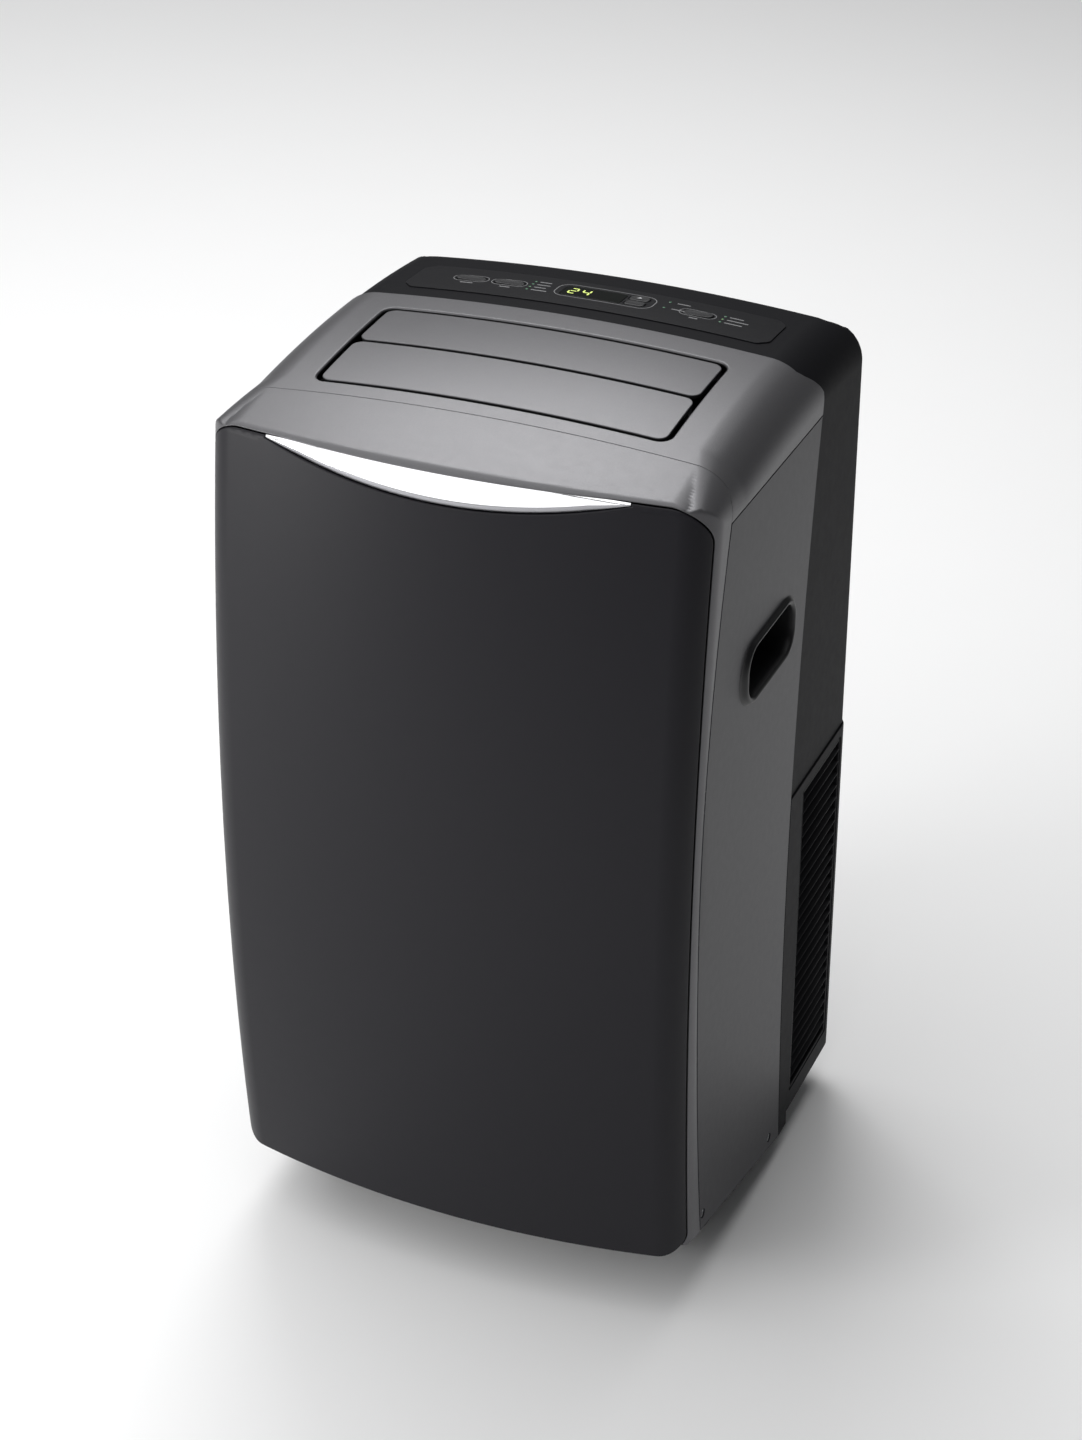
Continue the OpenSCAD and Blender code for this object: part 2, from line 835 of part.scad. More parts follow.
// ---- condenser side ----
fan_x = 25;
fan_z = 285;
module condenser_coil() {
    finned_coil([-180, 152, 90], [180, 194, 400], 112, 44, 7);
}
module condenser_fan_housing() {
    color("#d8d8d6")
        difference() {
            union() {
                rod_y(105, -60, 20, fan_x, fan_z);
                block([fan_x, -60, fan_z], [fan_x + 105, 20, 415]);
                block([fan_x, -60, 410], [fan_x + 105, 190, 475]);
                block([-80, 92, 420], [fan_x + 105, 190, 558]);
            }
            rod_y(102, -57, 17, fan_x, fan_z);
            block([fan_x + 3, -57, fan_z], [fan_x + 102, 17, 425]);
            block([fan_x + 3, -57, 413], [fan_x + 102, 187, 472]);
            block([-77, 95, 423], [fan_x + 102, 187, 555]);
            rod_y(exhaust_r + 2, 180, 192, 0, exhaust_z);
            rod_y(60, -61, -50, fan_x, fan_z);
            rod_y(9, 10, 21, fan_x, fan_z);
        }
}
module condenser_fan() {
    color("#3c4a66") {
        translate([fan_x, 2, fan_z])
            rotate([90, 0, 0])
                union() {
                    for (i = [0:23])
                        rotate(15*i)
                            translate([78, 0, 1])
                                rotate(35)
                                    linear_extrude(44)
                                        square([14, 1.8], center = true);
                    cylinder(r = 87, h = 3);
                    translate([0, 0, 43])
                        difference() {
                            cylinder(r = 87, h = 3);
                            translate([0, 0, -1])
                                cylinder(r = 68, h = 5);
                        }
                    cylinder(r = 12, h = 16);
                }
        rod_y(5, 0, 50, fan_x, fan_z);
    }
}
module condenser_fan_motor() {
    color("#a9abae")
        difference() {
            rod_y(45, 20.5, 84, fan_x, fan_z);
            rod_y(5 + fit_gap, 20, 60, fan_x, fan_z);
        }
}
comp = [-131, 34];
comp_r = 50;
comp_z0 = 62;
comp_stub_z = 300;   // top of the suction stub
foot_ring = 62;      // the three feet stand on this radius
suction_dx = -2;
discharge = [30, 48, 100];
module compressor() {
    color("#26282c")
        translate([comp[0], comp[1], 0]) {
            rotate_extrude()
                polygon(concat([[0, comp_z0], [comp_r - 10, comp_z0], [comp_r, comp_z0 + 10]],
                               [for (a = [0:15:90]) [comp_r*cos(a), comp_z0 + 200 + 34*sin(a)]]));
            difference() {
                translate([0, 0, comp_z0 + 2])
                    linear_extrude(4)
                        circle(82, $fn = 3);
                for (a = [0:120:240])
                    rotate(a)
                        translate([foot_ring, 0, comp_z0])
                            cylinder(r = 5.2, h = 10);
            }
            // suction accumulator and its strap
            translate([0, 78, comp_z0 + 50])
                cylinder(r = 20, h = 130);
            translate([-4, 40, comp_z0 + 90])
                cube([8, 25, 40]);
            translate([suction_dx, 0, comp_z0 + 220])
                cylinder(r = 8, h = comp_stub_z - comp_z0 - 220);
            rod_y(7, 20, discharge[1], discharge[0], discharge[2]);
        }
}
module compressor_feet() {
    color("#151517")
        for (a = [0:120:240])
            translate([comp[0], comp[1], 0])
                rotate(a)
                    translate([foot_ring, 0, tub_floor])
                        rotate_extrude()
                            polygon([[0, 0], [12, 0], [12, 22], [7, 25], [7, comp_z0 + 2 - tub_floor],
                                     [4.9, comp_z0 + 2 - tub_floor], [4.9, comp_z0 + 10 - tub_floor],
                                     [0, comp_z0 + 10 - tub_floor]]);
}
module pipe_bend(r) {
    rotate_extrude(angle = 90)
        translate([r, 0])
            circle(5, $fn = 24);
}
module refrigerant_pipes() {
    bend = 20;
    rise_z = 640;
    pipe_x = comp[0] + suction_dx;
    color("#b0643a") {
        // suction line, compressor head to evaporator
        translate([pipe_x, comp[1], comp_stub_z])
            cylinder(r = 5, h = rise_z - comp_stub_z);
        translate([pipe_x, comp[1] + bend, rise_z])
            rotate([90, 0, 90])
                rotate(90)
                    pipe_bend(bend);
        rod_y(5, comp[1] + bend, 128, pipe_x, rise_z + bend);
        // discharge line, compressor shell to condenser
        rod_y(5, comp[1] + discharge[1], 152, comp[0] + discharge[0], discharge[2]);
    }
}
module control_box() {
    color("#cfd1d3") {
        difference() {
            block([140, -120, 430], [208, -20, 540]);
            block([142, -118, 432], [206, -22, 538]);
        }
        block([150, -110, 432], [153, -30, 530]);
    }
}

// ---- base and casters ----
tub_floor = 30;
tub = [186, -135, 200];
caster_x = 145;
caster_ys = [-78, 146];
function corner_at(i) = [i % 2 == 0 ? caster_x : -caster_x, caster_ys[floor(i/2)]];
well_r = 40;
well_z = 54;
module base_pan() {
    color("#2a2a2d")
        difference() {
            union() {
                block([-tub[0], tub[1], 26], [tub[0], tub[2], 80]);
                block([-214, -170, 80], [214, 214, 84]);
            }
            difference() {
                block([3 - tub[0], tub[1] + 3, tub_floor], [tub[0] - 3, tub[2] - 3, 90]);
                for (i = [0:3])
                    translate([corner_at(i)[0], corner_at(i)[1], 0])
                        cylinder(r = well_r + 3, h = well_z + 4);
                for (i = [0:3])
                    translate([corner_at(i)[0], corner_at(i)[1], 0])
                        cylinder(r = 12, h = well_z + 18);
            }
            for (i = [0:3])
                translate([corner_at(i)[0], corner_at(i)[1], 0]) {
                    cylinder(r = well_r, h = well_z);
                    cylinder(r = 5 + fit_gap, h = 71);
                }
            rod_y(9 + fit_gap, tub[2] - 10, tub[2] + 5, drain_x, drain_z);
        }
}
module caster_fork(i) {
    color("#1a1a1c")
        translate([corner_at(i)[0], corner_at(i)[1], 0]) {
            translate([0, 0, 49])
                cylinder(r = 5, h = 19);
            translate([0, 0, 45])
                cylinder(r = 17, h = 4);
            for (s = [-1, 1])
                translate([s*10.5, 0, 0])
                    rotate([90, 0, 90])
                        linear_extrude(3, center = true)
                            polygon([[-12, 46], [14, 46], [caster_trail + 7, 18], [caster_trail, 13],
                                     [caster_trail - 7, 18]]);
            rod_x(3, -12, 12, caster_trail, wheel_r);
        }
}
module caster_wheel(i) {
    color("#2c2c2f")
        translate([corner_at(i)[0], corner_at(i)[1] + caster_trail, wheel_r])
            rotate([0, 90, 0])
                difference() {
                    cylinder(r = wheel_r, h = 16, center = true);
                    cylinder(r = 3 + fit_gap, h = 20, center = true);
                    for (s = [-1, 1])
                        translate([0, 0, s*8])
                            difference() {
                                cylinder(r = 14, h = 4, center = true);
                                cylinder(r = 6, h = 5, center = true);
                            }
                }
}

// Panel screws: two on each side panel and eight on the back.
lower_screws = [[-200, 110], [200, 110], [-200, 400], [200, 400]];
upper_screws = [[-200, 435], [200, 435], [-200, 760], [200, 760]];
module case_screws() {
    color("#8a8c90")
        for (s = [-1, 1]) {
            for (p = screw_sites)
                difference() {
                    rod_x(4, s > 0 ? hw - 8 : -hw + 1.2, s > 0 ? hw - 1.2 : -hw + 8, p[0], p[1]);
                    translate([s*(hw - 1.2), p[0], p[1]])
                        cube([1.6, 5, 1.2], center = true);
                    translate([s*(hw - 1.2), p[0], p[1]])
                        cube([1.6, 1.2, 5], center = true);
                }
        }
    color("#8a8c90") {
        for (p = lower_screws)
            rod_y(4, rear_y - 6, rear_y - 1, p[0], p[1]);
        for (p = upper_screws)
            rod_y(4, rear_y - rear_inset, rear_y - 0.2, p[0], p[1]);
    }
}

base_pan();
front_panel();
front_frame();
chrome_trim();
top_cover();
side_panel_right();
side_panel_left();
handle_cup_right();
handle_cup_left();
rear_upper_casing();
rear_lower_casing();
side_grille_right();
side_grille_left();
rear_lower_grille();
intake_frame();
filter_door();
filter_mesh();
exhaust_collar();
control_overlay();
display_lens();
display_board();
power_key();
mode_key();
fan_key();
temp_up_key();
temp_down_key();
air_duct();
rear_vane();
front_vane();
deflector_bar();
vane_motor();
blower_housing();
blower_wheel();
blower_motor();
evaporator_coil();
mid_deck();
condenser_coil();
condenser_fan_housing();
condenser_fan();
condenser_fan_motor();
compressor();
compressor_feet();
refrigerant_pipes();
control_box();
cord_gland();
drain_spout();
drain_plug();
case_screws();
for (i = [1:fin_count])
    deflector(i);
for (i = [0:3]) {
    caster_fork(i);
    caster_wheel(i);
}
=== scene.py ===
import json
import math
import bmesh
import bpy
import numpy as np
from mathutils import Matrix, Vector
from mathutils.geometry import delaunay_2d_cdt


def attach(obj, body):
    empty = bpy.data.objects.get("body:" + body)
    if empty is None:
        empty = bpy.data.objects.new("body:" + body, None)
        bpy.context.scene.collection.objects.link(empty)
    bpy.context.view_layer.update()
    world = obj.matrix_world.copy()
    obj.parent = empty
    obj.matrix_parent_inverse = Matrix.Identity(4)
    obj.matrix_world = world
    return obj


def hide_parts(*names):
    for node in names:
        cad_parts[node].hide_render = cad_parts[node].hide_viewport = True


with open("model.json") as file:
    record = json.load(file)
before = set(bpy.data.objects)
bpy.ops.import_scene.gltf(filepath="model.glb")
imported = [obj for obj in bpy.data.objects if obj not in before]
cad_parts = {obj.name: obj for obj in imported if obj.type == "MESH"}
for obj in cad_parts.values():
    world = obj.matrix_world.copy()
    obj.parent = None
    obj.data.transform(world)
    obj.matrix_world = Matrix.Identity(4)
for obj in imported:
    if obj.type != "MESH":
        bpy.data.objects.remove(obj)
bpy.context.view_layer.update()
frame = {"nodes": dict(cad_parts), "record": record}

# Portable air conditioner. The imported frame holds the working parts; the moulded shells that show
# are built here again as smooth closed shells. Lengths below are in millimetres, in the frame's
# axes: the front faces -Y and the floor is z = 0.
MM = 0.001

# ---- the case's driving sizes, the same as the CAD model's ----
HALF = 225.0
FRONT_Y, REAR_Y, TOP_Z = -226.0, 226.0, 843.0
BULGE_Z, APEX_Y = 345.0, 70.0
BULGE_R, BOW_R, CORNER_R = 3000.0, 900.0, 35.0
SLOPE_R, CROWN_R, ROLL_R, FRONT_ROLL_R = 1250.0, 2100.0, 45.0, 14.0
REAR_WALL_R, REAR_CORNER_R, REAR_EDGE_R = 60000.0, 18.0, 39.0
FRONT_EDGE_R = 5.0
SKIN = 3.0
SIDE_TOP_Z = 780.0      # joint between top cover and side panels
LEDGE_Z = 417.0         # joint between the two rear casings
REAR_STEP = 1.5         # the upper rear casing lies this far inside the lower one
BAND_Y = -112.0         # joint between front frame and top cover
REAR_JOINT_Y = 79.0     # joint between top cover and rear casing
JOINT_BEND_Z = 792.0    # above this the rear joint bends back to the top
SIDE_FOOT_Y, SIDE_FOOT_Z = 65.0, 27.0       # behind this y the side panels' foot is level
HALVINGS, SETTLINGS, REPEATS = 40, 12, 20   # steps of the three kinds of search


# ---- master surfaces ----
def roll_r(y):
    """Radius of the top's roll-over into the sides, which tightens towards the front."""
    return ROLL_R - (ROLL_R - FRONT_ROLL_R) * np.clip((-90 - y) / 100, 0, 1)


def bulge_y(z):
    """Front of the case on its centre line at height z."""
    return FRONT_Y + BULGE_R - np.sqrt(BULGE_R**2 - (z - BULGE_Z) ** 2)


def crown_z(y):
    """Top of the case on its centre line at depth y."""
    return TOP_Z - SLOPE_R + np.sqrt(SLOPE_R**2 - (y - APEX_Y) ** 2)


def section(x, fall, wide, corner):
    """Depth inside a section of a wide arc, two corner arcs and straight sides; also the normal's x share."""
    a = np.abs(x)
    cx = HALF - corner
    cw = wide - np.sqrt((wide - corner) ** 2 - cx**2)
    reach = np.hypot(a, wide - fall)
    arc, side = wide - reach, HALF - a
    plain = np.minimum(arc, side)
    plain_n = np.where(side < arc, 1.0, a / reach)
    kx, kw = a - cx, cw - fall
    k = np.maximum(np.hypot(kx, kw), 1e-9)
    turning = (kx > 0) & (kw > 0) & (a * (wide - cw) > cx * (wide - fall))
    return np.where(turning, corner - k, plain), np.where(turning, kx / k, plain_n)


def rounded_min(a, b, alike, r):
    """Smaller of two depths, with a round of radius r where the two faces cross."""
    r = r * np.clip(1 - alike, 0, 1)
    both = (a < r) & (b < r)
    return np.where(both, r - np.hypot(np.maximum(r - a, 0), np.maximum(r - b, 0)), np.minimum(a, b))


def case_depth(p):
    """Depth of points inside the case's outer surface."""
    x, y, z = p[:, 0], p[:, 1], p[:, 2]
    a, na = section(x, y - bulge_y(z), BOW_R, CORNER_R)
    b, nb = section(x, crown_z(y) - z, CROWN_R, roll_r(y))
    c, nc = section(x, REAR_Y - y, REAR_WALL_R, REAR_CORNER_R)
    return np.minimum(rounded_min(a, b, na * nb, FRONT_EDGE_R), rounded_min(c, b, nc * nb, REAR_EDGE_R))


def case_slope(p, step):
    """Gradient of the depth, by central differences."""
    g = np.zeros_like(p)
    for k in range(3):
        d = np.zeros(3)
        d[k] = step
        g[:, k] = (case_depth(p + d) - case_depth(p - d)) / (2 * step)
    return g


def outward(p):
    """Outward unit normals of the case near the points p."""
    g = -case_slope(p, 0.4)
    return g / np.linalg.norm(g, axis=1, keepdims=True)


def settle(p, depth=0.0):
    """Moves points onto the surface that lies depth inside the case."""
    p = np.array(p, float).reshape(-1, 3)
    for _ in range(SETTLINGS):
        g = case_slope(p, 0.05)
        p = p - g * ((case_depth(p) - depth) / (g * g).sum(1))[:, None]
    return p


def arc_lengths(wide, corner):
    """Angle of the joint between wide arc and corner arc, and the lengths to both ends of the corner arc."""
    phi = np.arcsin((HALF - corner) / (wide - corner))
    s1 = wide * phi
    return phi, s1, s1 + corner * (math.pi / 2 - phi)


def along(s, wide, corner):
    """Section point at arc length s from the centre line: (x, fall)."""
    a = np.abs(s)
    phi, s1, s2 = arc_lengths(wide, corner)
    cw = wide - (wide - corner) * np.cos(phi)
    turn = phi + (a - s1) / corner
    beyond_x = np.where(a < s2, HALF - corner + corner * np.sin(turn), HALF)
    beyond_fall = np.where(a < s2, cw - corner * np.cos(turn), cw + a - s2)
    x = np.where(a < s1, wide * np.sin(a / wide), beyond_x)
    fall = np.where(a < s1, wide * (1 - np.cos(a / wide)), beyond_fall)
    return np.sign(s) * x, fall


def length_at(x, fall, wide, corner):
    """Arc length of a section point, the inverse of along()."""
    a = np.abs(x)
    phi, s1, s2 = arc_lengths(wide, corner)
    cw = wide - (wide - corner) * np.cos(phi)
    turn = np.arctan2(a - HALF + corner, cw - fall)
    s = np.where(turn <= phi, wide * np.arcsin(np.clip(a / wide, -1, 1)), s1 + corner * (turn - phi))
    return np.sign(x) * np.where(fall > cw, s2 + fall - cw, s)


# Each space turns flat coordinates (arc length or width, height or depth) into points of a face.
def front_space(u, v):
    x, fall = along(u, BOW_R, CORNER_R)
    return np.stack([x, bulge_y(v) + fall, v], 1)


def top_space(u, v):
    x, fall = along(u, CROWN_R, roll_r(v))
    return np.stack([x, v, crown_z(v) - fall], 1)


def rear_space(u, v):
    x, fall = along(u, REAR_WALL_R, REAR_CORNER_R)
    return np.stack([x, REAR_Y - fall, v], 1)


def side_space(side):
    return lambda u, v: np.stack([np.full_like(u, side * HALF), u, v], 1)


def plan_space(u, v):
    """The top seen in plan: u is the width itself, not an arc length."""
    a, _ = along(u, CROWN_R, ROLL_R)
    return np.stack([u, v, crown_z(v) - (CROWN_R - np.sqrt(CROWN_R**2 - a * a))], 1)


def front_joint(z):
    """Side view of the joint between front frame and side panel: y at height z."""
    return -171 + (z - 420) ** 2 / np.where(z > 420, 2600, 4800)


def rear_joint(z):
    """Side view of the joint between side panel and rear casing."""
    return 59 + (z - 280) ** 2 / 6000


def side_foot(y):
    """Lower edge of the side panels, which rises towards the front."""
    return SIDE_FOOT_Z + np.maximum(0, SIDE_FOOT_Y - y) * 0.2245


REAR_JOINT_TOP = [(104.5, 800), (101, 806), (93, 814), (84, 821), (79, 826)]
FRONT_JOINT_TOP = [(-118.3, 790), (-117, 797), (-112, 806)]


def rear_joint_y(z):
    """The same joint over its whole height, up to where it turns across the top."""
    ys, zs = zip((float(rear_joint(JOINT_BEND_Z)), JOINT_BEND_Z), *REAR_JOINT_TOP)
    bent = np.interp(z, zs, ys)
    return np.where(z < JOINT_BEND_Z, rear_joint(z), bent)


def bisect(deep_end, free_end, is_deep):
    """Closes in on the surface between values inside the case and values outside it."""
    for _ in range(HALVINGS):
        mid = (deep_end + free_end) / 2
        deep = is_deep(mid)
        deep_end, free_end = np.where(deep, mid, deep_end), np.where(deep, free_end, mid)
    return deep_end, free_end


def solve(known, axis, deep_end, free_end):
    """The surface's coordinate along one axis, where the other two coordinates are known."""
    a, b = np.broadcast_arrays(*(np.asarray(k, float) for k in known))

    def is_deep(mid):
        xyz = [a.ravel(), b.ravel()]
        xyz.insert(axis, mid.ravel())
        return case_depth(np.stack(xyz, 1)).reshape(a.shape) > 0

    lo, hi = bisect(np.full(a.shape, deep_end), np.full(a.shape, free_end), is_deep)
    return (lo + hi) / 2


def solve_x(y, z):
    """Half width of the case at depth y and height z."""
    return solve((y, z), 0, 100.0, HALF + 0.01)


def solve_y(x, z):
    """Front surface at width x and height z."""
    return solve((x, z), 1, -60.0, FRONT_Y - 1.0)


def solve_z(x, y):
    """Top surface at width x and depth y."""
    return solve((x, y), 2, 640.0, TOP_Z + 1)


def cast(foot, ahead, reach):
    """Where rays from points inside the case meet its surface."""
    far, _ = bisect(np.zeros(len(foot)), np.full(len(foot), reach),
                    lambda t: case_depth(foot + t[:, None] * ahead) > 0)
    return foot + far[:, None] * ahead


def fall_at(x, wide, corner):
    """Fall of a section at width x."""
    a = np.abs(x)
    cx = HALF - corner
    cw = wide - np.sqrt((wide - corner) ** 2 - cx**2)
    arc = wide - np.sqrt(np.maximum(wide**2 - a * a, 0))
    bend = cw - np.sqrt(np.maximum(corner**2 - (a - cx) ** 2, 0))
    return np.where(a < wide * cx / (wide - corner), arc, bend)


def brow_z(x):
    """Height at which front and top would meet at width x without the round between them."""
    z = np.full(np.shape(x), 810.0)
    for _ in range(REPEATS):
        y = bulge_y(z) + fall_at(x, BOW_R, CORNER_R)
        z = crown_z(y) - fall_at(x, CROWN_R, roll_r(y))
    return z


# ---- outlines ----
def dense(points, step, closed=True):
    """The same outline with more points, no further apart than step."""
    pts = [np.array(p, float) for p in points]
    out = []
    for a, b in zip(pts, pts[1:] + pts[:1] if closed else pts[1:]):
        n = max(1, int(math.ceil(np.linalg.norm(b - a) / step)))
        out += [a + (b - a) * k / n for k in range(n)]
    if not closed:
        out.append(pts[-1])
    return np.array(out)


def round_rect(w, h, r, cx=0.0, cy=0.0, n=10):
    """Rounded rectangle, anticlockwise."""
    out = []
    for sx, sy, a0 in ((1, 1, 0), (-1, 1, 90), (-1, -1, 180), (1, -1, 270)):
        for k in range(n + 1):
            a = math.radians(a0 + 90 * k / n)
            out.append((cx + sx * (w / 2 - r) + r * math.cos(a), cy + sy * (h / 2 - r) + r * math.sin(a)))
    return out


def ring(cx, cy, r, n=32):
    turns = [2 * math.pi * k / n for k in range(n)]
    return [(cx + r * math.cos(a), cy + r * math.sin(a)) for a in turns]


def box(x0, x1, y0, y1):
    return [(x0, y0), (x1, y0), (x1, y1), (x0, y1)]


def eased(points, cut):
    """An outline with each corner cut back by the same length and slightly rounded."""
    pts = [np.array(p, float) for p in points]
    out = []
    for k, p in enumerate(pts):
        before = p + unit(pts[k - 1] - p) * cut
        after = p + unit(pts[(k + 1) % len(pts)] - p) * cut
        out += [before, p * 0.5 + 0.25 * (before + after), after]
    return out


def inside(pts, loops):
    """Even-odd test of points against closed outlines, and the distance to the nearest outline."""
    hit = np.zeros(len(pts), bool)
    near = np.full(len(pts), 1e9)
    for loop in loops:
        a = np.asarray(loop, float)
        b = np.roll(a, -1, 0)
        for (x0, y0), (x1, y1) in zip(a, b):
            if y0 != y1:
                cross = (pts[:, 1] > y0) != (pts[:, 1] > y1)
                hit ^= cross & (pts[:, 0] < (x1 - x0) * (pts[:, 1] - y0) / (y1 - y0) + x0)
            d = np.array([x1 - x0, y1 - y0])
            t = np.clip(((pts - (x0, y0)) @ d) / max(d @ d, 1e-12), 0, 1)
            near = np.minimum(near, np.hypot(*(pts - (x0, y0) - t[:, None] * d).T))
    return hit, near


# ---- sheets and shells ----
def patch(loops, space, us, vs, depth=0.0, keep_off=2.2, fit=True):
    """Triangulated sheet bounded by outlines (the first outside, the rest holes): (points, faces)."""
    grid = np.array([(u, v) for u in us for v in vs], float).reshape(-1, 2)
    if len(grid):
        hit, near = inside(grid, loops)
        grid = grid[hit & (near > keep_off)]
    pts, edges = [], []
    for loop in loops:
        start = len(pts)
        pts += [tuple(p) for p in loop]
        edges += [(start + k, start + (k + 1) % len(loop)) for k in range(len(loop))]
    pts = np.array(pts + [tuple(p) for p in grid])
    made = delaunay_2d_cdt([Vector(p) for p in pts], edges, [], 0, 1e-5)
    flat = np.array([tuple(v) for v in made[0]])
    faces = [tuple(f) for f in made[2]]
    centre = np.array([flat[list(f)].mean(0) for f in faces])
    keep, _ = inside(centre, loops)
    faces = [f for f, k in zip(faces, keep) if k]
    p = space(flat[:, 0], flat[:, 1])
    if fit:
        p = settle(p, depth)
    used = sorted({i for f in faces for i in f})
    again = {old: new for new, old in enumerate(used)}
    return p[used], [tuple(again[i] for i in f) for f in faces]


def weave(rows, skip=None):
    """Quads over a grid of points (rows, columns, 3). skip(i, j) leaves a quad out."""
    n, m = rows.shape[:2]
    faces = [(i * m + j, i * m + j + 1, (i + 1) * m + j + 1, (i + 1) * m + j)
             for i in range(n - 1) for j in range(m - 1) if skip is None or not skip(i, j)]
    return rows.reshape(-1, 3), faces


def weld(parts, reach=0.05):
    """Joins sheets along their shared edges."""
    bm = bmesh.new()
    for points, faces in parts:
        verts = [bm.verts.new(p) for p in points]
        for f in faces:
            if len(set(f)) > 2:
                bm.faces.new([verts[i] for i in f])
    bmesh.ops.remove_doubles(bm, verts=bm.verts, dist=reach)
    bmesh.ops.delete(bm, geom=[v for v in bm.verts if not v.link_faces], context="VERTS")
    bm.verts.index_update()
    points = np.array([tuple(v.co) for v in bm.verts])
    faces = [tuple(v.index for v in f.verts) for f in bm.faces]
    bm.free()
    return points, faces


def unit(v):
    return v / np.maximum(np.linalg.norm(v, axis=-1, keepdims=True), 1e-12)


def face_outward(points, faces, normals):
    """Turns every face so that it looks the same way as the normals."""
    out = []
    for f in faces:
        a, b, c = points[f[0]], points[f[1]], points[f[2]]
        n = np.cross(b - a, c - a)
        if len(f) == 4:
            n = n + np.cross(c - a, points[f[3]] - a)
        out.append(f if n @ normals[list(f)].sum(0) > 0 else tuple(reversed(f)))
    return out


def mesh_object(name, points, faces, corner_normals, material):
    mesh = bpy.data.meshes.new(name)
    mesh.from_pydata([tuple(p * MM) for p in points], [], faces)
    mesh.polygons.foreach_set("use_smooth", [True] * len(mesh.polygons))
    if corner_normals is not None:
        mesh.normals_split_custom_set([tuple(n) for n in corner_normals])
    mesh.materials.append(material)
    mesh.update()
    obj = bpy.data.objects.new(name, mesh)
    bpy.context.scene.collection.objects.link(obj)
    return obj


def shell(name, sheet, material, thick=SKIN, roll=0.9, normals=None, painted_shade_walls=None):
    """Closed shell under a sheet, with its edges rolled over.

    roll may be a function of the edge points. The second material, if given, covers the walls and the back;
    in black it paints shade into the joints and the openings' walls.
    """
    points, faces = sheet
    normals = outward(points) if normals is None else normals
    faces = face_outward(points, faces, normals)
    directed = {(f[k], f[(k + 1) % len(f)]) for f in faces for k in range(len(f))}
    rim = [e for e in directed if (e[1], e[0]) not in directed]
    after, before = dict(rim), {b: a for a, b in rim}
    edge = sorted(after)
    e = np.array(edge)
    p, n = points[e], normals[e]
    nxt = points[[after[i] for i in edge]]
    prv = points[[before[i] for i in edge]]
    o1, o2 = unit(np.cross(nxt - p, n)), unit(np.cross(p - prv, n))
    out = o1 + o2
    out = out / np.maximum((out * out).sum(1, keepdims=True) / 2, 0.5)
    side = unit(out)
    r = (roll(p) if callable(roll) else np.full(len(p), float(roll)))[:, None]
    n_top = len(points)
    all_points, all_normals = [points.copy()], [normals]
    all_points[0][e] = p - out * r
    rings = [np.array(edge)]
    turn = [30, 60, 90]
    for a in turn:
        a = math.radians(a)
        all_points.append(p - out * r * (1 - math.sin(a)) - n * r * (1 - math.cos(a)))
        all_normals.append(unit(n * math.cos(a) + side * math.sin(a)))
        rings.append(n_top + len(edge) * (len(rings) - 1) + np.arange(len(edge)))
    foot = n_top + len(edge) * len(turn)
    all_points.append(points - normals * thick)
    place = {v: k for k, v in enumerate(edge)}
    all_points = np.concatenate(all_points)
    smooth = np.concatenate(all_normals)
    made, corner = list(faces), [smooth[i] for f in faces for i in f]
    walls = []
    for a, b in rim:
        ka, kb = place[a], place[b]
        for low, high in zip(rings, rings[1:]):
            q = (low[kb], low[ka], high[ka], high[kb])
            made.append(tuple(int(i) for i in q))
            corner += [smooth[i] for i in q]
        walls.append(len(made))
        made.append((int(rings[-1][kb]), int(rings[-1][ka]), foot + a, foot + b))
        corner += [side[kb], side[ka], side[ka], side[kb]]
    for f in faces:
        made.append(tuple(foot + i for i in reversed(f)))
        corner += [-normals[i] for i in reversed(f)]
    obj = mesh_object(name, all_points, made, corner, material)
    # black walls and back: painted shade in the joints and in the openings
    if painted_shade_walls is not None:
        obj.data.materials.append(painted_shade_walls)
        dark = np.zeros(len(made), dtype=np.int32)
        dark[walls] = 1
        dark[len(made) - len(faces):] = 1
        obj.data.polygons.foreach_set("material_index", dark)
    return obj


def loft(name, rings, material, crease=35):
    """Closed body through rings of equal point counts, capped at both ends."""
    rings = [np.asarray(r, float) for r in rings]
    n = len(rings[0])
    faces = []
    last = (len(rings) - 1) * n
    for a in range(0, last, n):
        faces += [(a + i, a + (i + 1) % n, a + n + (i + 1) % n, a + n + i) for i in range(n)]
    faces += [tuple(reversed(range(n))), tuple(range(last, last + n))]
    obj = mesh_object(name, np.concatenate(rings), faces, None, material)
    bm = bmesh.new()
    bm.from_mesh(obj.data)
    bmesh.ops.recalc_face_normals(bm, faces=bm.faces)
    bm.to_mesh(obj.data)
    bm.free()
    obj.data.set_sharp_from_angle(angle=math.radians(crease))
    return obj


def merge(name, objects):
    """Joins several objects into one piece."""
    first = objects[0]
    with bpy.context.temp_override(active_object=first, object=first, selected_editable_objects=objects,
                                   selected_objects=objects):
        bpy.ops.object.join()
    first.name = name
    first.data.name = name
    return first


def settle_piece(obj, body, slot, *nodes):
    """Fixes a piece to its body, and hides the CAD nodes that it stands in for; slot is not used."""
    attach(obj, body)
    if nodes:
        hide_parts(*nodes)


# ---- materials ----
LOOKS = {}


def node_tree(name):
    """A new material, kept in LOOKS under its name. A slot's material bears the slot's name."""
    mat = bpy.data.materials.new(name)
    LOOKS[name] = mat
    mat.use_nodes = True
    tree = mat.node_tree
    return mat, tree, tree.nodes["Principled BSDF"]


def set_inputs(node, **values):
    """Links or stores each value. The names are the inputs' own, with _ for each space."""
    for word, value in values.items():
        socket = node.inputs[word.replace("_", " ")]
        if isinstance(value, bpy.types.NodeSocket):
            node.id_data.links.new(value, socket)
        else:
            socket.default_value = value


def add(tree, kind, **values):
    node = tree.nodes.new("ShaderNode" + kind)
    set_inputs(node, **values)
    return node


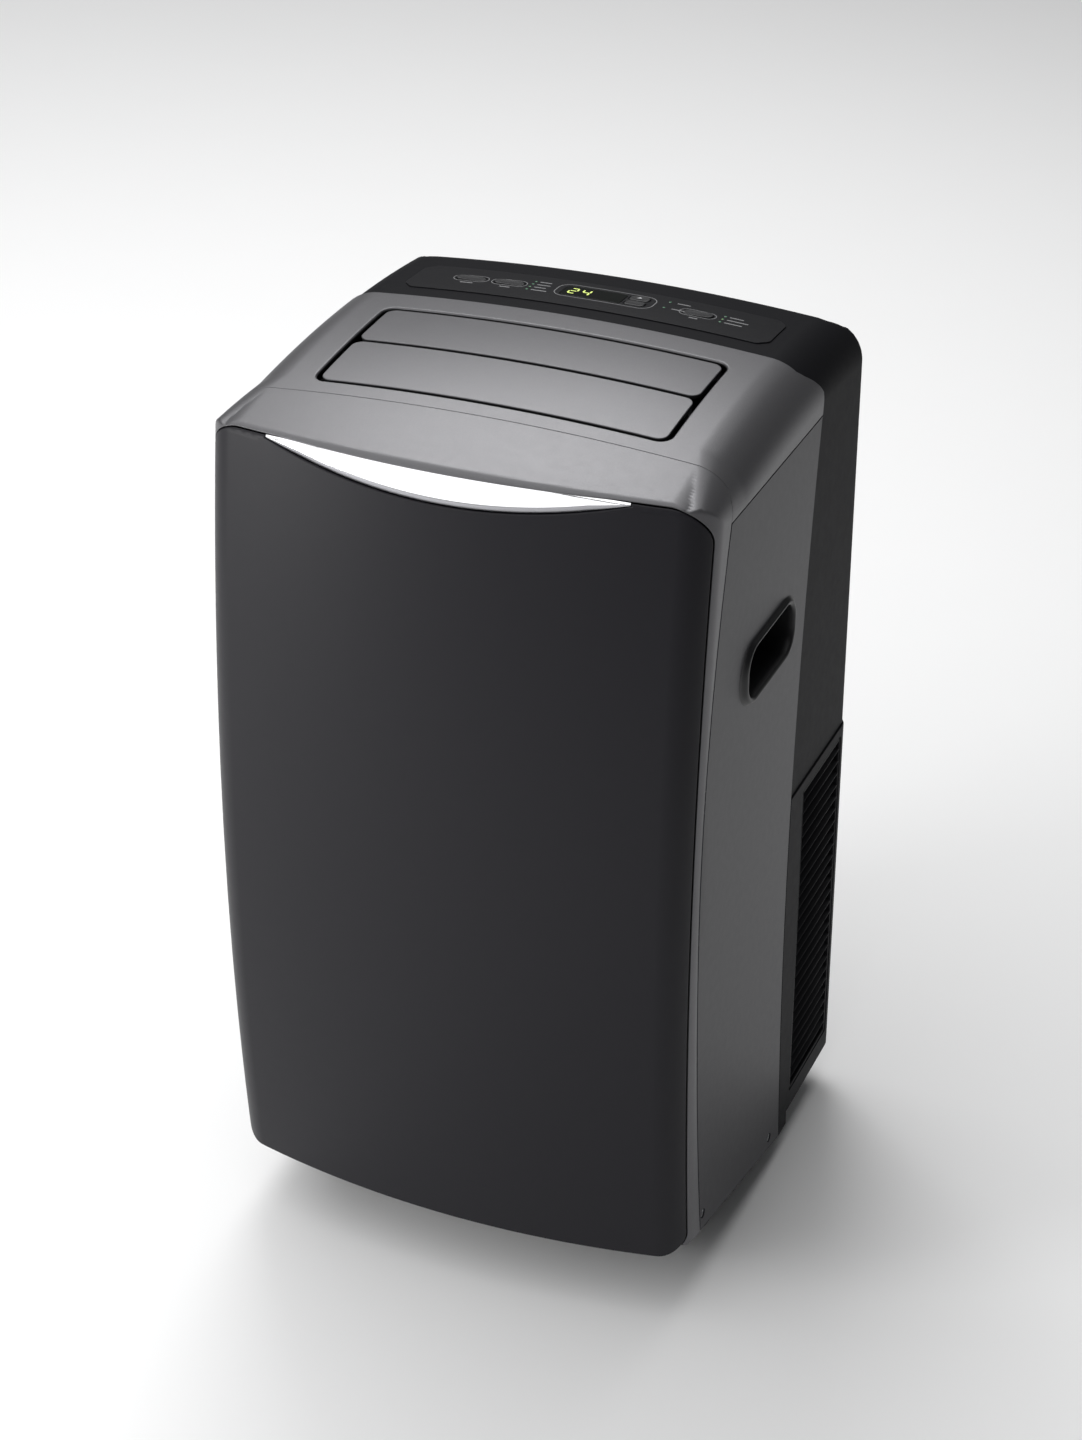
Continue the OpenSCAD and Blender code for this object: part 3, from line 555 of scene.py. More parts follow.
def noise(tree, scale, detail=4.0, stretch=(1, 1, 1)):
    """Noise in object space; scale is in cells per metre."""
    coords = add(tree, "TexCoord").outputs["Object"]
    spot = add(tree, "Mapping", Vector=coords, Scale=stretch).outputs["Vector"]
    return add(tree, "TexNoise", Vector=spot, Scale=scale, Detail=detail).outputs["Fac"]


def spread(tree, fac, low, high):
    """Maps the middle of a noise's range to low-high."""
    node = add(tree, "MapRange", Value=fac, From_Min=0.3, From_Max=0.7, To_Min=low, To_Max=high)
    return node.outputs["Result"]


def tinted(tree, fac, dark, light):
    mix = tree.nodes.new("ShaderNodeMix")
    mix.data_type = "RGBA"
    set_inputs(mix, Factor=fac, A=(*dark, 1), B=(*light, 1))
    return mix.outputs["Result"]


def bump(tree, fac, height):
    """Bump node; height is in metres."""
    return add(tree, "Bump", Height=fac, Strength=1.0, Distance=height).outputs["Normal"]


def average(tree, a, b):
    total, half = add(tree, "Math"), add(tree, "Math")
    total.operation, half.operation = "ADD", "MULTIPLY"
    tree.links.new(a, total.inputs[0])
    tree.links.new(b, total.inputs[1])
    tree.links.new(total.outputs[0], half.inputs[0])
    half.inputs[1].default_value = 0.5
    return half.outputs[0]


def moulded(name, color, rough, grain=2600, grain_height=12e-6, vary=0.05, specular=0.5, coat=0.0):
    """Moulded plastic: fine spark-eroded grain with slow drifts of colour and roughness."""
    mat, tree, bsdf = node_tree(name)
    dark = [c * (1 - vary) for c in color]
    light = [min(1, c * (1 + vary)) for c in color]
    speck = noise(tree, grain, 2)
    set_inputs(bsdf, Base_Color=tinted(tree, average(tree, noise(tree, 7, 3), speck), dark, light),
               Roughness=spread(tree, noise(tree, 110, 5), rough - 0.015, rough + 0.02),
               Normal=bump(tree, speck, grain_height), Specular_IOR_Level=specular,
               Coat_Weight=coat, Coat_Roughness=0.18)
    return mat


def metallic_paint(name, color, rough, metal=0.55, flake=3800, specular=0.4):
    """Silver-grey moulded-in colour: fine flakes in the base under a satin surface."""
    mat, tree, bsdf = node_tree(name)
    cells = add(tree, "TexVoronoi", Vector=add(tree, "TexCoord").outputs["Object"], Scale=flake)
    grey = add(tree, "RGBToBW", Color=cells.outputs["Color"]).outputs[0]
    dark = [c * 0.86 for c in color]
    light = [min(1, c * 1.16) for c in color]
    set_inputs(bsdf, Base_Color=tinted(tree, grey, dark, light),
               Roughness=spread(tree, noise(tree, 120, 5), rough - 0.012, rough + 0.015),
               Normal=bump(tree, noise(tree, 1500, 3), 8e-6), Metallic=metal, Specular_IOR_Level=specular)
    return mat


def metal(name, color, rough, scratch=(1, 1, 1), scale=900, height=4e-6):
    """Bare or plated metal with drawn streaks and a little unevenness."""
    mat, tree, bsdf = node_tree(name)
    streak = noise(tree, scale, 4, scratch)
    set_inputs(bsdf, Base_Color=tinted(tree, streak, [c * 0.88 for c in color], color),
               Roughness=spread(tree, streak, max(0.02, rough - 0.05), rough + 0.08),
               Normal=bump(tree, streak, height), Metallic=1.0)
    return mat


def lamp(name, color, strength):
    """Lit segment or lamp tip."""
    mat, tree, bsdf = node_tree(name)
    set_inputs(bsdf, Base_Color=tinted(tree, noise(tree, 900, 2), [c * 0.8 for c in color], color),
               Emission_Color=(*color, 1), Emission_Strength=strength)
    return mat


CHARCOAL = moulded("charcoal_panel", (0.010, 0.0095, 0.0125), 0.42, 3200, 6e-6, specular=0.22)
GREY_METALLIC = metallic_paint("metallic_grey", (0.115, 0.114, 0.120), 0.38, metal=0.5)
VANE_GREY = metallic_paint("vane_grey", (0.105, 0.104, 0.110), 0.36, metal=0.5)
SIDE_GREY = metallic_paint("side_grey", (0.026, 0.0255, 0.030), 0.34, metal=0.2, specular=0.12)
REAR_BLACK = moulded("rear_black", (0.010, 0.010, 0.0115), 0.5, 2200, 16e-6, specular=0.04)
BLACK = moulded("black_plastic", (0.012, 0.012, 0.013), 0.45)
CUP_BLACK = moulded("cup_black", (0.010, 0.010, 0.011), 0.42, specular=0.3)
GLOSS_BLACK = moulded("gloss_black", (0.008, 0.008, 0.0095), 0.36, 3600, 4e-6, specular=0.12)
LENS = moulded("smoked_lens", (0.003, 0.004, 0.003), 0.16, 1200, 1e-6, specular=0.2)
KEY_GREY = moulded("key_grey", (0.012, 0.012, 0.0135), 0.42, 3000, specular=0.2)
PRINT = moulded("print_grey", (0.33, 0.33, 0.34), 0.55)
LINE_PRINT = moulded("line_print", (0.16, 0.16, 0.165), 0.55)
CHROME = metal("bright_trim", (0.93, 0.93, 0.95), 0.09, scratch=(1, 6, 6), scale=500, height=1e-6)
SATIN = metal("satin_lip", (0.42, 0.42, 0.44), 0.30, scratch=(1, 8, 8), scale=700)
DIGIT = lamp("led_green", (0.55, 0.66, 0.16), 0.9)
LAMP_OFF = moulded("lamp_off", (0.42, 0.42, 0.40), 0.4, 1500)
# worn only by the CAD's own meshes
metal("zinc_steel", (0.55, 0.56, 0.58), 0.32, scratch=(4, 1, 1))
metal("coil_aluminium", (0.66, 0.67, 0.69), 0.38, scratch=(20, 1, 1), scale=400)
metal("copper", (0.70, 0.36, 0.22), 0.30)
moulded("filter_grey", (0.15, 0.16, 0.17), 0.6, 1500, 40e-6)
moulded("white_plastic", (0.72, 0.72, 0.70), 0.5, vary=0.03)
moulded("fan_plastic", (0.06, 0.08, 0.14), 0.42)
moulded("board_green", (0.02, 0.12, 0.05), 0.4, 1800, 30e-6)
moulded("compressor_black", (0.015, 0.015, 0.017), 0.28, 700, 30e-6, coat=0.5)
moulded("rubber_black", (0.012, 0.012, 0.012), 0.75, 1500, 30e-6)
moulded("wheel_grey", (0.020, 0.020, 0.022), 0.5, 1800)


def dress_cad():
    """Gives every CAD node the material of its slot."""
    for part in frame["record"]["subparts"]:
        mesh = frame["nodes"][part["node"]].data
        mesh.materials.clear()
        mesh.materials.append(LOOKS[part["material_slot"]])
        for poly in mesh.polygons:
            poly.material_index = 0


# ---- front panel, bright trim and frame ----
PANEL_X, PANEL_Z0, PANEL_Z1 = 222.0, 73.0, 811.0
PANEL_TOP_R, PANEL_FOOT_R = 34.0, 20.0
BROW_MARGIN = 2.2
TRIM_X, TRIM_SAG = 161.0, 22.0
TRIM_TIP_Z = PANEL_Z1 - 3
TRIM_R = (TRIM_X**2 + TRIM_SAG**2) / (2 * TRIM_SAG)
TRIM_LIP, TRIM_SINK = 5.2, 0.15     # height of the trim's lower lip, and how far the trim lies in
FRAME_GAP = 0.7
LIP_ROWS = 6            # rows of faces in the trim's lower lip
SIDES = ((1, "right"), (-1, "left"))


def panel_top_z(x):
    """Upper edge of the front panel, just under the case's front top edge."""
    return np.minimum(PANEL_Z1, brow_z(np.asarray(x, float)) - BROW_MARGIN)


def trim_low_z(x, grow=0.0):
    """Lower edge of the bright crescent."""
    return TRIM_TIP_Z - TRIM_SAG + TRIM_R - math.sqrt((TRIM_R + grow) ** 2 - x * x)


def front_length(x):
    """Arc length on the front at width x."""
    phi, s1, _ = arc_lengths(BOW_R, CORNER_R)
    a = np.abs(x)
    turn = np.arcsin(np.clip((a - HALF + CORNER_R) / CORNER_R, -1, 1))
    return np.sign(x) * np.where(a < BOW_R * math.sin(phi), BOW_R * np.arcsin(np.clip(a / BOW_R, -1, 1)),
                                 s1 + CORNER_R * (turn - phi))


def to_front(points):
    """Width and height on the front, as arc length and height."""
    p = np.asarray(points, float)
    return np.stack([front_length(p[:, 0]), p[:, 1]], 1)


def arc_points(cx, cz, r, a0, a1, n):
    return [(cx + r * math.cos(math.radians(a)), cz + r * math.sin(math.radians(a)))
            for a in np.linspace(a0, a1, n)]


def front_panel():
    x_top, x_foot = PANEL_X - PANEL_TOP_R, PANEL_X - PANEL_FOOT_R
    right = [(0, PANEL_Z0)] + arc_points(x_foot, PANEL_Z0 + PANEL_FOOT_R, PANEL_FOOT_R, -90, 0, 12)
    right += arc_points(x_top, float(panel_top_z(x_top)) - PANEL_TOP_R, PANEL_TOP_R, 0, 90, 12)
    right += [(x, float(panel_top_z(x))) for x in np.linspace(x_top, TRIM_X + 0.4, 12)[1:]]
    right += [(x, trim_low_z(x, 0.4)) for x in np.linspace(TRIM_X + 0.4, 0, 46)]
    left = [(-x, z) for x, z in right[-2:0:-1]]
    loop = dense(to_front(right + left), 6)
    s1, s2 = arc_lengths(BOW_R, CORNER_R)[1:]
    corner = np.arange(s1, s2, 2.6)
    us = np.concatenate([-corner[::-1], np.linspace(-s1 + 9, s1 - 9, 36), corner])
    vs = np.concatenate([np.arange(PANEL_Z0 + 5, 770, 11), np.arange(771, PANEL_Z1, 3.5)])
    sheet = patch([loop], front_space, us, vs)
    piece = shell("front_panel_moulding", sheet, CHARCOAL, thick=4.0, roll=1.2)
    settle_piece(piece, "root", "charcoal_panel", "front_panel")


def chrome_trim():
    """Crescent with a narrow lower lip and a bright face that leans back under the band."""
    xs = np.linspace(-TRIM_X + 0.3, TRIM_X - 0.3, 141)
    low = np.array([trim_low_z(x) for x in xs])
    high = panel_top_z(xs) + 0.1
    lip = np.minimum(TRIM_LIP, (high - low) * 0.45)
    rows_z, depths = [], []
    for t in (0, 0.08, 0.25, 0.5, 0.75, 0.92, 1):
        rows_z.append(low + lip * t)
        depths.append(TRIM_SINK + 2.0 * (1 - t) ** 1.3 * lip / TRIM_LIP)
    rest = high - low - lip
    for t in (0.03, 0.08, 0.18, 0.32, 0.5, 0.7, 0.86, 1):
        rows_z.append(low + lip + rest * t)
        depths.append(TRIM_SINK + 0.30 * rest * t**1.1)
    u = front_length(xs)
    flat = np.concatenate([np.stack([u, z], 1) for z in rows_z])
    p = settle(front_space(flat[:, 0], flat[:, 1]))
    p = p + np.concatenate(depths)[:, None] * np.array([0, 1.0, 0])
    rows = p.reshape(len(rows_z), len(xs), 3)
    normals = unit(np.cross(np.gradient(rows, axis=1), np.gradient(rows, axis=0))).reshape(-1, 3)
    piece = shell("chrome_crescent", weave(rows), CHROME, thick=2.0, roll=0.25, normals=normals)
    piece.data.materials.append(SATIN)
    for polygon in piece.data.polygons[:LIP_ROWS * (len(xs) - 1)]:
        polygon.material_index = 1
    settle_piece(piece, "root", "bright_trim", "chrome_trim")


FLANGE_FOOT_Z, FLANGE_TOP_Z, FLANGE_HALF = 76.0, 792.0, 8.0
BAND_X = 180.0          # the band is woven straight up to here, then the corner is fitted
STRIP_TOP_Z = 766.0     # and the strips up to here
CORNER_VIEW = unit(np.array([0.62, -0.5, 0.6]))
CORNER_HEART = np.array([150.0, -60.0, 740.0])


def corner_axes(side):
    """Direction towards the case's upper corner, and two directions across it."""
    d = CORNER_VIEW * (side, 1, 1)
    e1 = unit(np.cross([0, 0, 1.0], d))
    return d, e1, np.cross(d, e1)


def corner_flat(points, side):
    """Points seen along the case's upper corner, as flat coordinates."""
    _, e1, e2 = corner_axes(side)
    q = np.asarray(points, float) - CORNER_HEART * (side, 1, 1)
    return np.stack([q @ e1, q @ e2], 1)


def corner_space(side):
    """Puts flat corner coordinates back on the case's surface."""
    d, e1, e2 = corner_axes(side)

    def space(u, v):
        return cast(CORNER_HEART * (side, 1, 1) + np.outer(u, e1) + np.outer(v, e2), d, 320.0)

    return space


def frame_inner(side):
    """Inner edge of the frame round the panel's upper corner, from the strip to the band."""
    x0 = PANEL_X - PANEL_TOP_R
    cz = float(panel_top_z(x0)) - PANEL_TOP_R
    flat = [(PANEL_X + FRAME_GAP, z) for z in np.arange(STRIP_TOP_Z, cz - 1, 3.0)]
    flat += arc_points(x0, cz, PANEL_TOP_R + FRAME_GAP, 0, 90, 16)
    flat += [(x, float(panel_top_z(x)) + FRAME_GAP) for x in np.linspace(x0, BAND_X, 5)[1:]]
    flat = np.array(flat)
    y = solve_y(flat[:, 0], flat[:, 1])
    return np.stack([side * flat[:, 0], y, flat[:, 1]], 1)


def band_columns(xs):
    """Points of the band from its lower edge over the case's front top edge to the top cover."""
    z0 = panel_top_z(xs) + FRAME_GAP
    y0 = solve_y(np.abs(xs), z0)
    reach = 25.0
    rows = []
    for a in (0, 1.5, 3, 4.5, 6, 8, 10, 13, 17, 22, 30, 42, 58, 75, 90):
        d = np.array([0, -math.cos(math.radians(a)), math.sin(math.radians(a))])
        rows.append(cast(np.stack([xs, y0 + reach, z0], 1), d, 60.0))
    for t in np.linspace(0, 1, 8)[1:]:
        y = (y0 + reach) * (1 - t) + BAND_Y * t
        rows.append(np.stack([xs, y, solve_z(np.abs(xs), y)], 1))
    return np.array(rows)


def frame_corner(side, column, row):
    """Sheet of the frame's upper corner between the band's last column and the strip's top row."""
    side_seam = [(float(front_joint(z)), z) for z in (STRIP_TOP_Z, 774.0, 782.0)] + FRONT_JOINT_TOP
    seam = [(float(solve_x(y, z)), y, z) for y, z in dense(side_seam, 2.5, False)]
    top = [(x, BAND_Y, float(solve_z(x, BAND_Y))) for x in np.linspace(seam[-1][0], BAND_X, 12)[1:-1]]
    edge = np.array(seam[1:] + top) * (side, 1, 1)
    loop = np.concatenate([frame_inner(side)[1:-1], column, edge[::-1], row])
    flat = corner_flat(loop, side)
    lo, hi = flat.min(0), flat.max(0)
    return patch([flat], corner_space(side), np.arange(lo[0], hi[0], 2.3), np.arange(lo[1], hi[1], 2.3),
                 keep_off=1.1, fit=False)


def strip_rows(side):
    """Strip beside the panel, from the joint with the top cover down to its foot."""
    foot_z = PANEL_Z0 + PANEL_FOOT_R
    z_in = np.concatenate([np.linspace(STRIP_TOP_Z, foot_z, 78), [90.5, 88, 85, 81.8]])
    z_out = np.concatenate([np.linspace(STRIP_TOP_Z, 86, 78), [83.5, 81, 78, 74.9]])
    r = PANEL_FOOT_R + FRAME_GAP
    x_in = PANEL_X - PANEL_FOOT_R + np.sqrt(r * r - np.clip(foot_z - z_in, 0, r) ** 2)
    inner = np.stack([x_in, solve_y(x_in, z_in), z_in], 1)
    y_out = front_joint(z_out)
    outer = np.stack([solve_x(y_out, z_out), y_out, z_out], 1)
    rows = np.array([inner + (outer - inner) * t for t in np.linspace(0, 1, 9)]).transpose(1, 0, 2)
    # the top row is arched, because a straight one leaves slivers in the corner sheet
    rows[0, :, 2] += 4 * np.linspace(0, 1, 9) * np.linspace(1, 0, 9)
    middle = rows[:, 1:-1]
    rows[:, 1:-1] = settle(middle.reshape(-1, 3)).reshape(middle.shape)
    return rows * (side, 1, 1)


def front_frame():
    xs = np.linspace(-BAND_X, BAND_X, 79)
    band = band_columns(xs)
    parts = [weave(band)]
    for side in (1, -1):
        strip = strip_rows(side)
        parts.append(weave(strip))
        column = band[:, -1] if side > 0 else band[:, 0]
        parts.append(frame_corner(side, column, strip[0][::-1]))
    # black walls: painted shade in the joints round the frame
    piece = shell("front_frame_moulding", weld(parts, 0.06), GREY_METALLIC, roll=0.55, painted_shade_walls=BLACK)
    settle_piece(piece, "root", "metallic_grey", "front_frame")


def frame_flange(side, word):
    """Strip behind the joint of front frame and side panel, so that no light passes through it."""
    z = np.linspace(FLANGE_FOOT_Z, FLANGE_TOP_Z, 120)
    rows = []
    for dy in np.linspace(-FLANGE_HALF, FLANGE_HALF, 5):
        y = front_joint(z) + dy
        rows.append(np.stack([solve_x(y, z), y, z], 1))
    sheet = weave(np.array(rows))
    points = settle(sheet[0], SKIN + 0.3) * (side, 1, 1)
    piece = shell("frame_flange_" + word, (points, sheet[1]), BLACK, thick=1.0, roll=0.2)
    settle_piece(piece, "root", "black_plastic")


# ---- top cover, vanes and side panels ----
OUTLET_X, OUTLET_Y0, OUTLET_Y1 = 160.0, -94.0, 49.0
VANE_GAP = 3.5
EDGE_RELIEF = 1.2       # each flap is cut back this much at either end, and by this much in depth in all
SPLIT_Y = -19.0
PIN_R, SCREW_HOLE_R = 2.5, 4.6
GRIP_W, GRIP_H, GRIP_R = 117.0, 53.0, 22.0
GRIP_AT = (-19.5, 613.5)
HALF_SPLIT = 1.5        # half the gap between the two flaps
VANE_CORNER_R, VANE_SINK, VANE_SKIN = 9.0, 0.8, 3.4
ARM_X, ARM_HALF = 152.0, 3.0        # middle of a flap's arm, and half its thickness
PIN_END_X = 162.0
REAR_AXIS = (OUTLET_Y1 - VANE_GAP - 13, 826.0)
FRONT_AXIS = (SPLIT_Y - HALF_SPLIT - 13, 822.4)
PANEL_SCREWS = [(-140, 92), (40, 46)]


def to_top(points):
    """Side-view or surface points (x, y, z) to the top's arc length and y."""
    p = np.asarray(points, float)
    s = length_at(p[:, 0], crown_z(p[:, 1]) - p[:, 2], CROWN_R, roll_r(p[:, 1]))
    return np.stack([s, p[:, 1]], 1)


def seam_on_top(pairs):
    """Surface points on the right side at side-view points (y, z)."""
    y, z = np.array(pairs, float).T
    return list(zip(solve_x(y, z), y, z))


def top_cover():
    gap = 0.25
    z_low = SIDE_TOP_Z + 0.3
    front = [(y + gap, z) for y, z in reversed(FRONT_JOINT_TOP[:-1])]
    front += [(float(front_joint(z_low)) + gap, z_low)]
    rear = [(float(rear_joint(z)) - gap, z) for z in (z_low, JOINT_BEND_Z)]
    rear += [(y - gap, z) for y, z in REAR_JOINT_TOP]
    y_front, y_rear = BAND_Y + gap, REAR_JOINT_Y - gap
    x_front = float(solve_x(y_front, FRONT_JOINT_TOP[-1][1]))
    x_rear = float(solve_x(y_rear, REAR_JOINT_TOP[-1][1]))
    right = [(x, y_front, float(solve_z(x, y_front))) for x in np.linspace(0, x_front, 40)]
    right += seam_on_top(front)
    right += seam_on_top([(y, z_low) for y in np.linspace(front[-1][0], rear[0][0], 40)[1:-1]])
    right += seam_on_top(rear)
    right += [(x, y_rear, float(solve_z(x, y_rear))) for x in np.linspace(x_rear, 0, 40)[1:]]
    right = to_top(right)
    left = right[1:-1][::-1] * (-1, 1)
    outer = dense(np.concatenate([right, left]), 5)
    outlet = dense(round_rect(2 * OUTLET_X, OUTLET_Y1 - OUTLET_Y0, 12, 0, (OUTLET_Y0 + OUTLET_Y1) / 2), 5)
    s1, s2 = arc_lengths(CROWN_R, ROLL_R)[1:]
    bend = np.arange(s1 - 4, s2 + 14, 3.2)
    us = np.concatenate([-bend[::-1], np.linspace(-s1 + 8, s1 - 8, 34), bend])
    vs = np.arange(-118, 104, 6.5)
    sheet = patch([outer, outlet], top_space, us, vs)

    def roll(p):
        """A wide roll round the outlet and a narrow one along the joints."""
        x, y = np.abs(p[:, 0]), p[:, 1]
        return np.where((x < OUTLET_X + 2) & (y > OUTLET_Y0 - 2) & (y < OUTLET_Y1 + 2), 1.8, 0.5)

    # black walls: painted shade in the joints and inside the outlet
    piece = shell("top_cover_moulding", sheet, GREY_METALLIC, roll=roll, painted_shade_walls=BLACK)
    settle_piece(piece, "root", "metallic_grey", "top_cover")


def bar(name, outline, x0, x1, material, bevel=0.6):
    """Bar along X with a closed section given as (y, z) points, and eased ends."""
    sec = np.asarray(outline, float)
    mid = sec.mean(0)

    def at(x, ease):
        reach = np.maximum(np.linalg.norm(sec - mid, axis=1, keepdims=True), ease)
        return np.column_stack([np.full(len(sec), x), mid + (sec - mid) * (1 - ease / reach)])

    return loft(name, [at(x0, bevel), at(x0 + bevel, 0), at(x1 - bevel, 0), at(x1, bevel)], material)


def vane(name, y0, y1, axis):
    """Curved flap with its end arms and pins."""
    w = 2 * (OUTLET_X - VANE_GAP - EDGE_RELIEF)
    loop = dense(round_rect(w, y1 - y0 - EDGE_RELIEF, VANE_CORNER_R, 0, (y0 + y1) / 2, 8), 5)
    us, vs = np.linspace(-150, 150, 44), np.arange(y0 + 3, y1 - 2, 5)
    sheet = patch([loop], plan_space, us, vs, depth=VANE_SINK)
    # black walls: painted shade along the flap's edges
    blade = shell(name + "_blade", sheet, VANE_GREY, thick=VANE_SKIN, roll=0.8, painted_shade_walls=BLACK)
    parts = [blade]
    for s in (-1, 1):
        top = float(solve_z(ARM_X, axis[0])) - 3.2
        y, z = axis
        arm = [(y - 4, z), (y - 4, top), (y + 4, top), (y + 4, z)]
        arm += [(y + 5 * math.cos(a), z - 5 * math.sin(a)) for a in np.radians(range(20, 161, 20))]
        ends = sorted((s * (ARM_X - ARM_HALF), s * (ARM_X + ARM_HALF)))
        pins = sorted((s * ARM_X, s * PIN_END_X))
        parts.append(bar(name + "_arm", dense(arm, 3), *ends, VANE_GREY, 0.5))
        parts.append(bar(name + "_pin", ring(*axis, PIN_R, 24), *pins, VANE_GREY, 0.4))
    settle_piece(merge(name + "_moulding", parts), name, "vane_grey", name)


def side_panel(side, word):
    gap, frame_gap = 0.4, 1.2
    top = SIDE_TOP_Z - gap
    zs = np.linspace(float(side_foot(-150)) + 0.3, top, 70)
    front = [(float(front_joint(z)) + frame_gap, z) for z in zs]
    rear = [(float(rear_joint(z)) - gap, z) for z in np.linspace(top, SIDE_FOOT_Z, 60)]
    outer = dense(front + rear + [(SIDE_FOOT_Y, SIDE_FOOT_Z)], 6)
    grip = dense(round_rect(GRIP_W + 0.4, GRIP_H + 0.4, GRIP_R + 0.2, *GRIP_AT), 4)
    holes = [grip] + [ring(y, z, SCREW_HOLE_R, 24) for y, z in PANEL_SCREWS]
    sheet = patch([outer] + holes, side_space(side), np.arange(-168, 100, 13), np.arange(30, 780, 13))
    # black walls: painted shade in the joints and in the grip and screw holes
    piece = shell("side_panel_%s_moulding" % word, sheet, SIDE_GREY, roll=0.7, painted_shade_walls=BLACK)
    settle_piece(piece, "root", "side_grey", "side_panel_" + word)


def grip_ring(long, high, x, side):
    """The grip's outline, grown by long and high, at the distance x from the middle."""
    pts = round_rect(GRIP_W + 2 * long, GRIP_H + 2 * high, max(GRIP_R + (long + high) / 2, 2), *GRIP_AT, 14)
    return np.array([(side * x, y, z) for y, z in pts])


# Growth in length, growth in height, distance from the middle: from the cup's back to its bottom
GRIP_PATH = [
    (-14, -14, 191.0), (-3.5, -3.5, 191.3), (-0.8, -0.8, 194.0), (-0.4, -0.4, 222.0), (-0.4, -0.4, 224.8),
    (10.8, 3.1, 224.8), (10.9, 3.15, 225.1), (9.6, 2.9, 225.25), (7.6, 2.4, 225.9), (5.6, 1.9, 226.9),
    (3.8, 1.5, 227.9), (2.6, 1.1, 228.5), (1.5, 0.7, 228.85), (0.4, 0.3, 229.0), (-0.7, -0.4, 228.95),
    (-1.8, -1.3, 228.6), (-2.6, -2.3, 227.9), (-3.0, -3.0, 226.9), (-3.1, -3.1, 222.0),
    (-3.6, -3.6, 205.0), (-4.8, -4.8, 197.0), (-7.0, -7.0, 194.3), (-11, -11, 193.5), (-17, -17, 193.4)]


def handle(side, word):
    """Finger recess: a raised soft rim on the panel and the cup behind it."""
    rings = [grip_ring(long, high, x, side) for long, high, x in GRIP_PATH]
    cup = loft("handle_cup_%s_moulding" % word, rings, CUP_BLACK, 50)
    settle_piece(cup, "root", "black_plastic", "handle_cup_" + word)


# ---- rear casings ----
DOOR_X, DOOR_Z0, DOOR_Z1 = 151.0, 588.6, 773.0
EXHAUST_Z, COLLAR_R = 492.0, 73.9
BACK_TOP_Z = 740.0      # where the flat back meets the round above it
SAME = 0.02             # points nearer than this count as one


def wrap_spot(u, wide, corner):
    """Section point at u, which runs from 0 to 1 on the wide arc and from 1 to 2 round the corner."""
    _, s1, s2 = arc_lengths(wide, corner)
    a = np.abs(u)
    x, fall = along(np.where(a < 1, a * s1, s1 + (a - 1) * (s2 - s1)), wide, corner)
    return np.sign(u) * x, fall


def rear_wrap(us):
    """Rows of points over the top, round the rear edge and down to the flat back."""
    yc = REAR_Y - REAR_EDGE_R
    zc = float(crown_z(yc)) - REAR_EDGE_R
    x_top, f_top = wrap_spot(us, CROWN_R, ROLL_R)
    x_rear, f_rear = wrap_spot(us, REAR_WALL_R, REAR_CORNER_R)
    y_start = np.full(len(us), REAR_JOINT_Y)
    for _ in range(REPEATS):
        y_start = rear_joint_y(crown_z(y_start) - f_top)
    rows = []
    for t in np.linspace(0, 1, 15):
        y = y_start + (yc - f_rear * 0.9 - y_start) * t
        rows.append([x_top, y, crown_z(y) - f_top])
    for a in range(6, 91, 6):
        a = math.radians(a)
        w = math.sin(a)
        rows.append([x_top + (x_rear - x_top) * w, yc + REAR_EDGE_R * w - f_rear * (0.9 + 0.1 * w),
                     zc + REAR_EDGE_R * math.cos(a) - f_top * (1 - w * 0.2)])
    for z in (785.0, DOOR_Z1, BACK_TOP_Z):
        rows.append([x_rear, REAR_Y - f_rear, np.full(len(us), z)])
    rows = np.array(rows).transpose(0, 2, 1)
    rows = settle(rows.reshape(-1, 3), REAR_STEP).reshape(rows.shape)
    rows[-2, :, 2] = DOOR_Z1
    rows[-1, :, 2] = BACK_TOP_Z
    rows[0] = snap_to_joint(rows[0])
    return rows


def rear_back(us, u_door, base):
    """Flat back, with the door opening as a notch and a hole for the exhaust collar."""
    _, r1, r2 = arc_lengths(REAR_WALL_R, REAR_CORNER_R)
    length = length_at(base[:, 0], REAR_Y - base[:, 1], REAR_WALL_R, REAR_CORNER_R)
    beside = np.abs(us) >= u_door - 1e-6
    right = [(s, BACK_TOP_Z) for s in length[beside & (us > 0)]]
    left = [(s, BACK_TOP_Z) for s in length[beside & (us < 0)]]
    s_door, s_right, s_left = right[0][0], right[-1][0], left[0][0]
    down = dense([(s_right, BACK_TOP_Z), (s_right, LEDGE_Z)], 6, closed=False)[1:-1]
    foot = dense([(s_right, LEDGE_Z), (s_left, LEDGE_Z)], 7, closed=False)
    notch = [(-s_door, BACK_TOP_Z), (-s_door, DOOR_Z0), (s_door, DOOR_Z0), (s_door, BACK_TOP_Z)]
    notch = dense(notch, 7, closed=False)[1:-1]
    loop = np.concatenate([right, down, foot, [(s_left, z) for _, z in down[::-1]], left, notch])
    bend = np.arange(r1, r2 - 1, 3.0)
    grid = np.concatenate([-bend[::-1], np.linspace(-r1 + 6, r1 - 6, 30), bend])
    return patch([loop, ring(0, EXHAUST_Z, COLLAR_R, 64)], rear_space, grid,
                 np.arange(LEDGE_Z + 7, BACK_TOP_Z, 12), REAR_STEP)


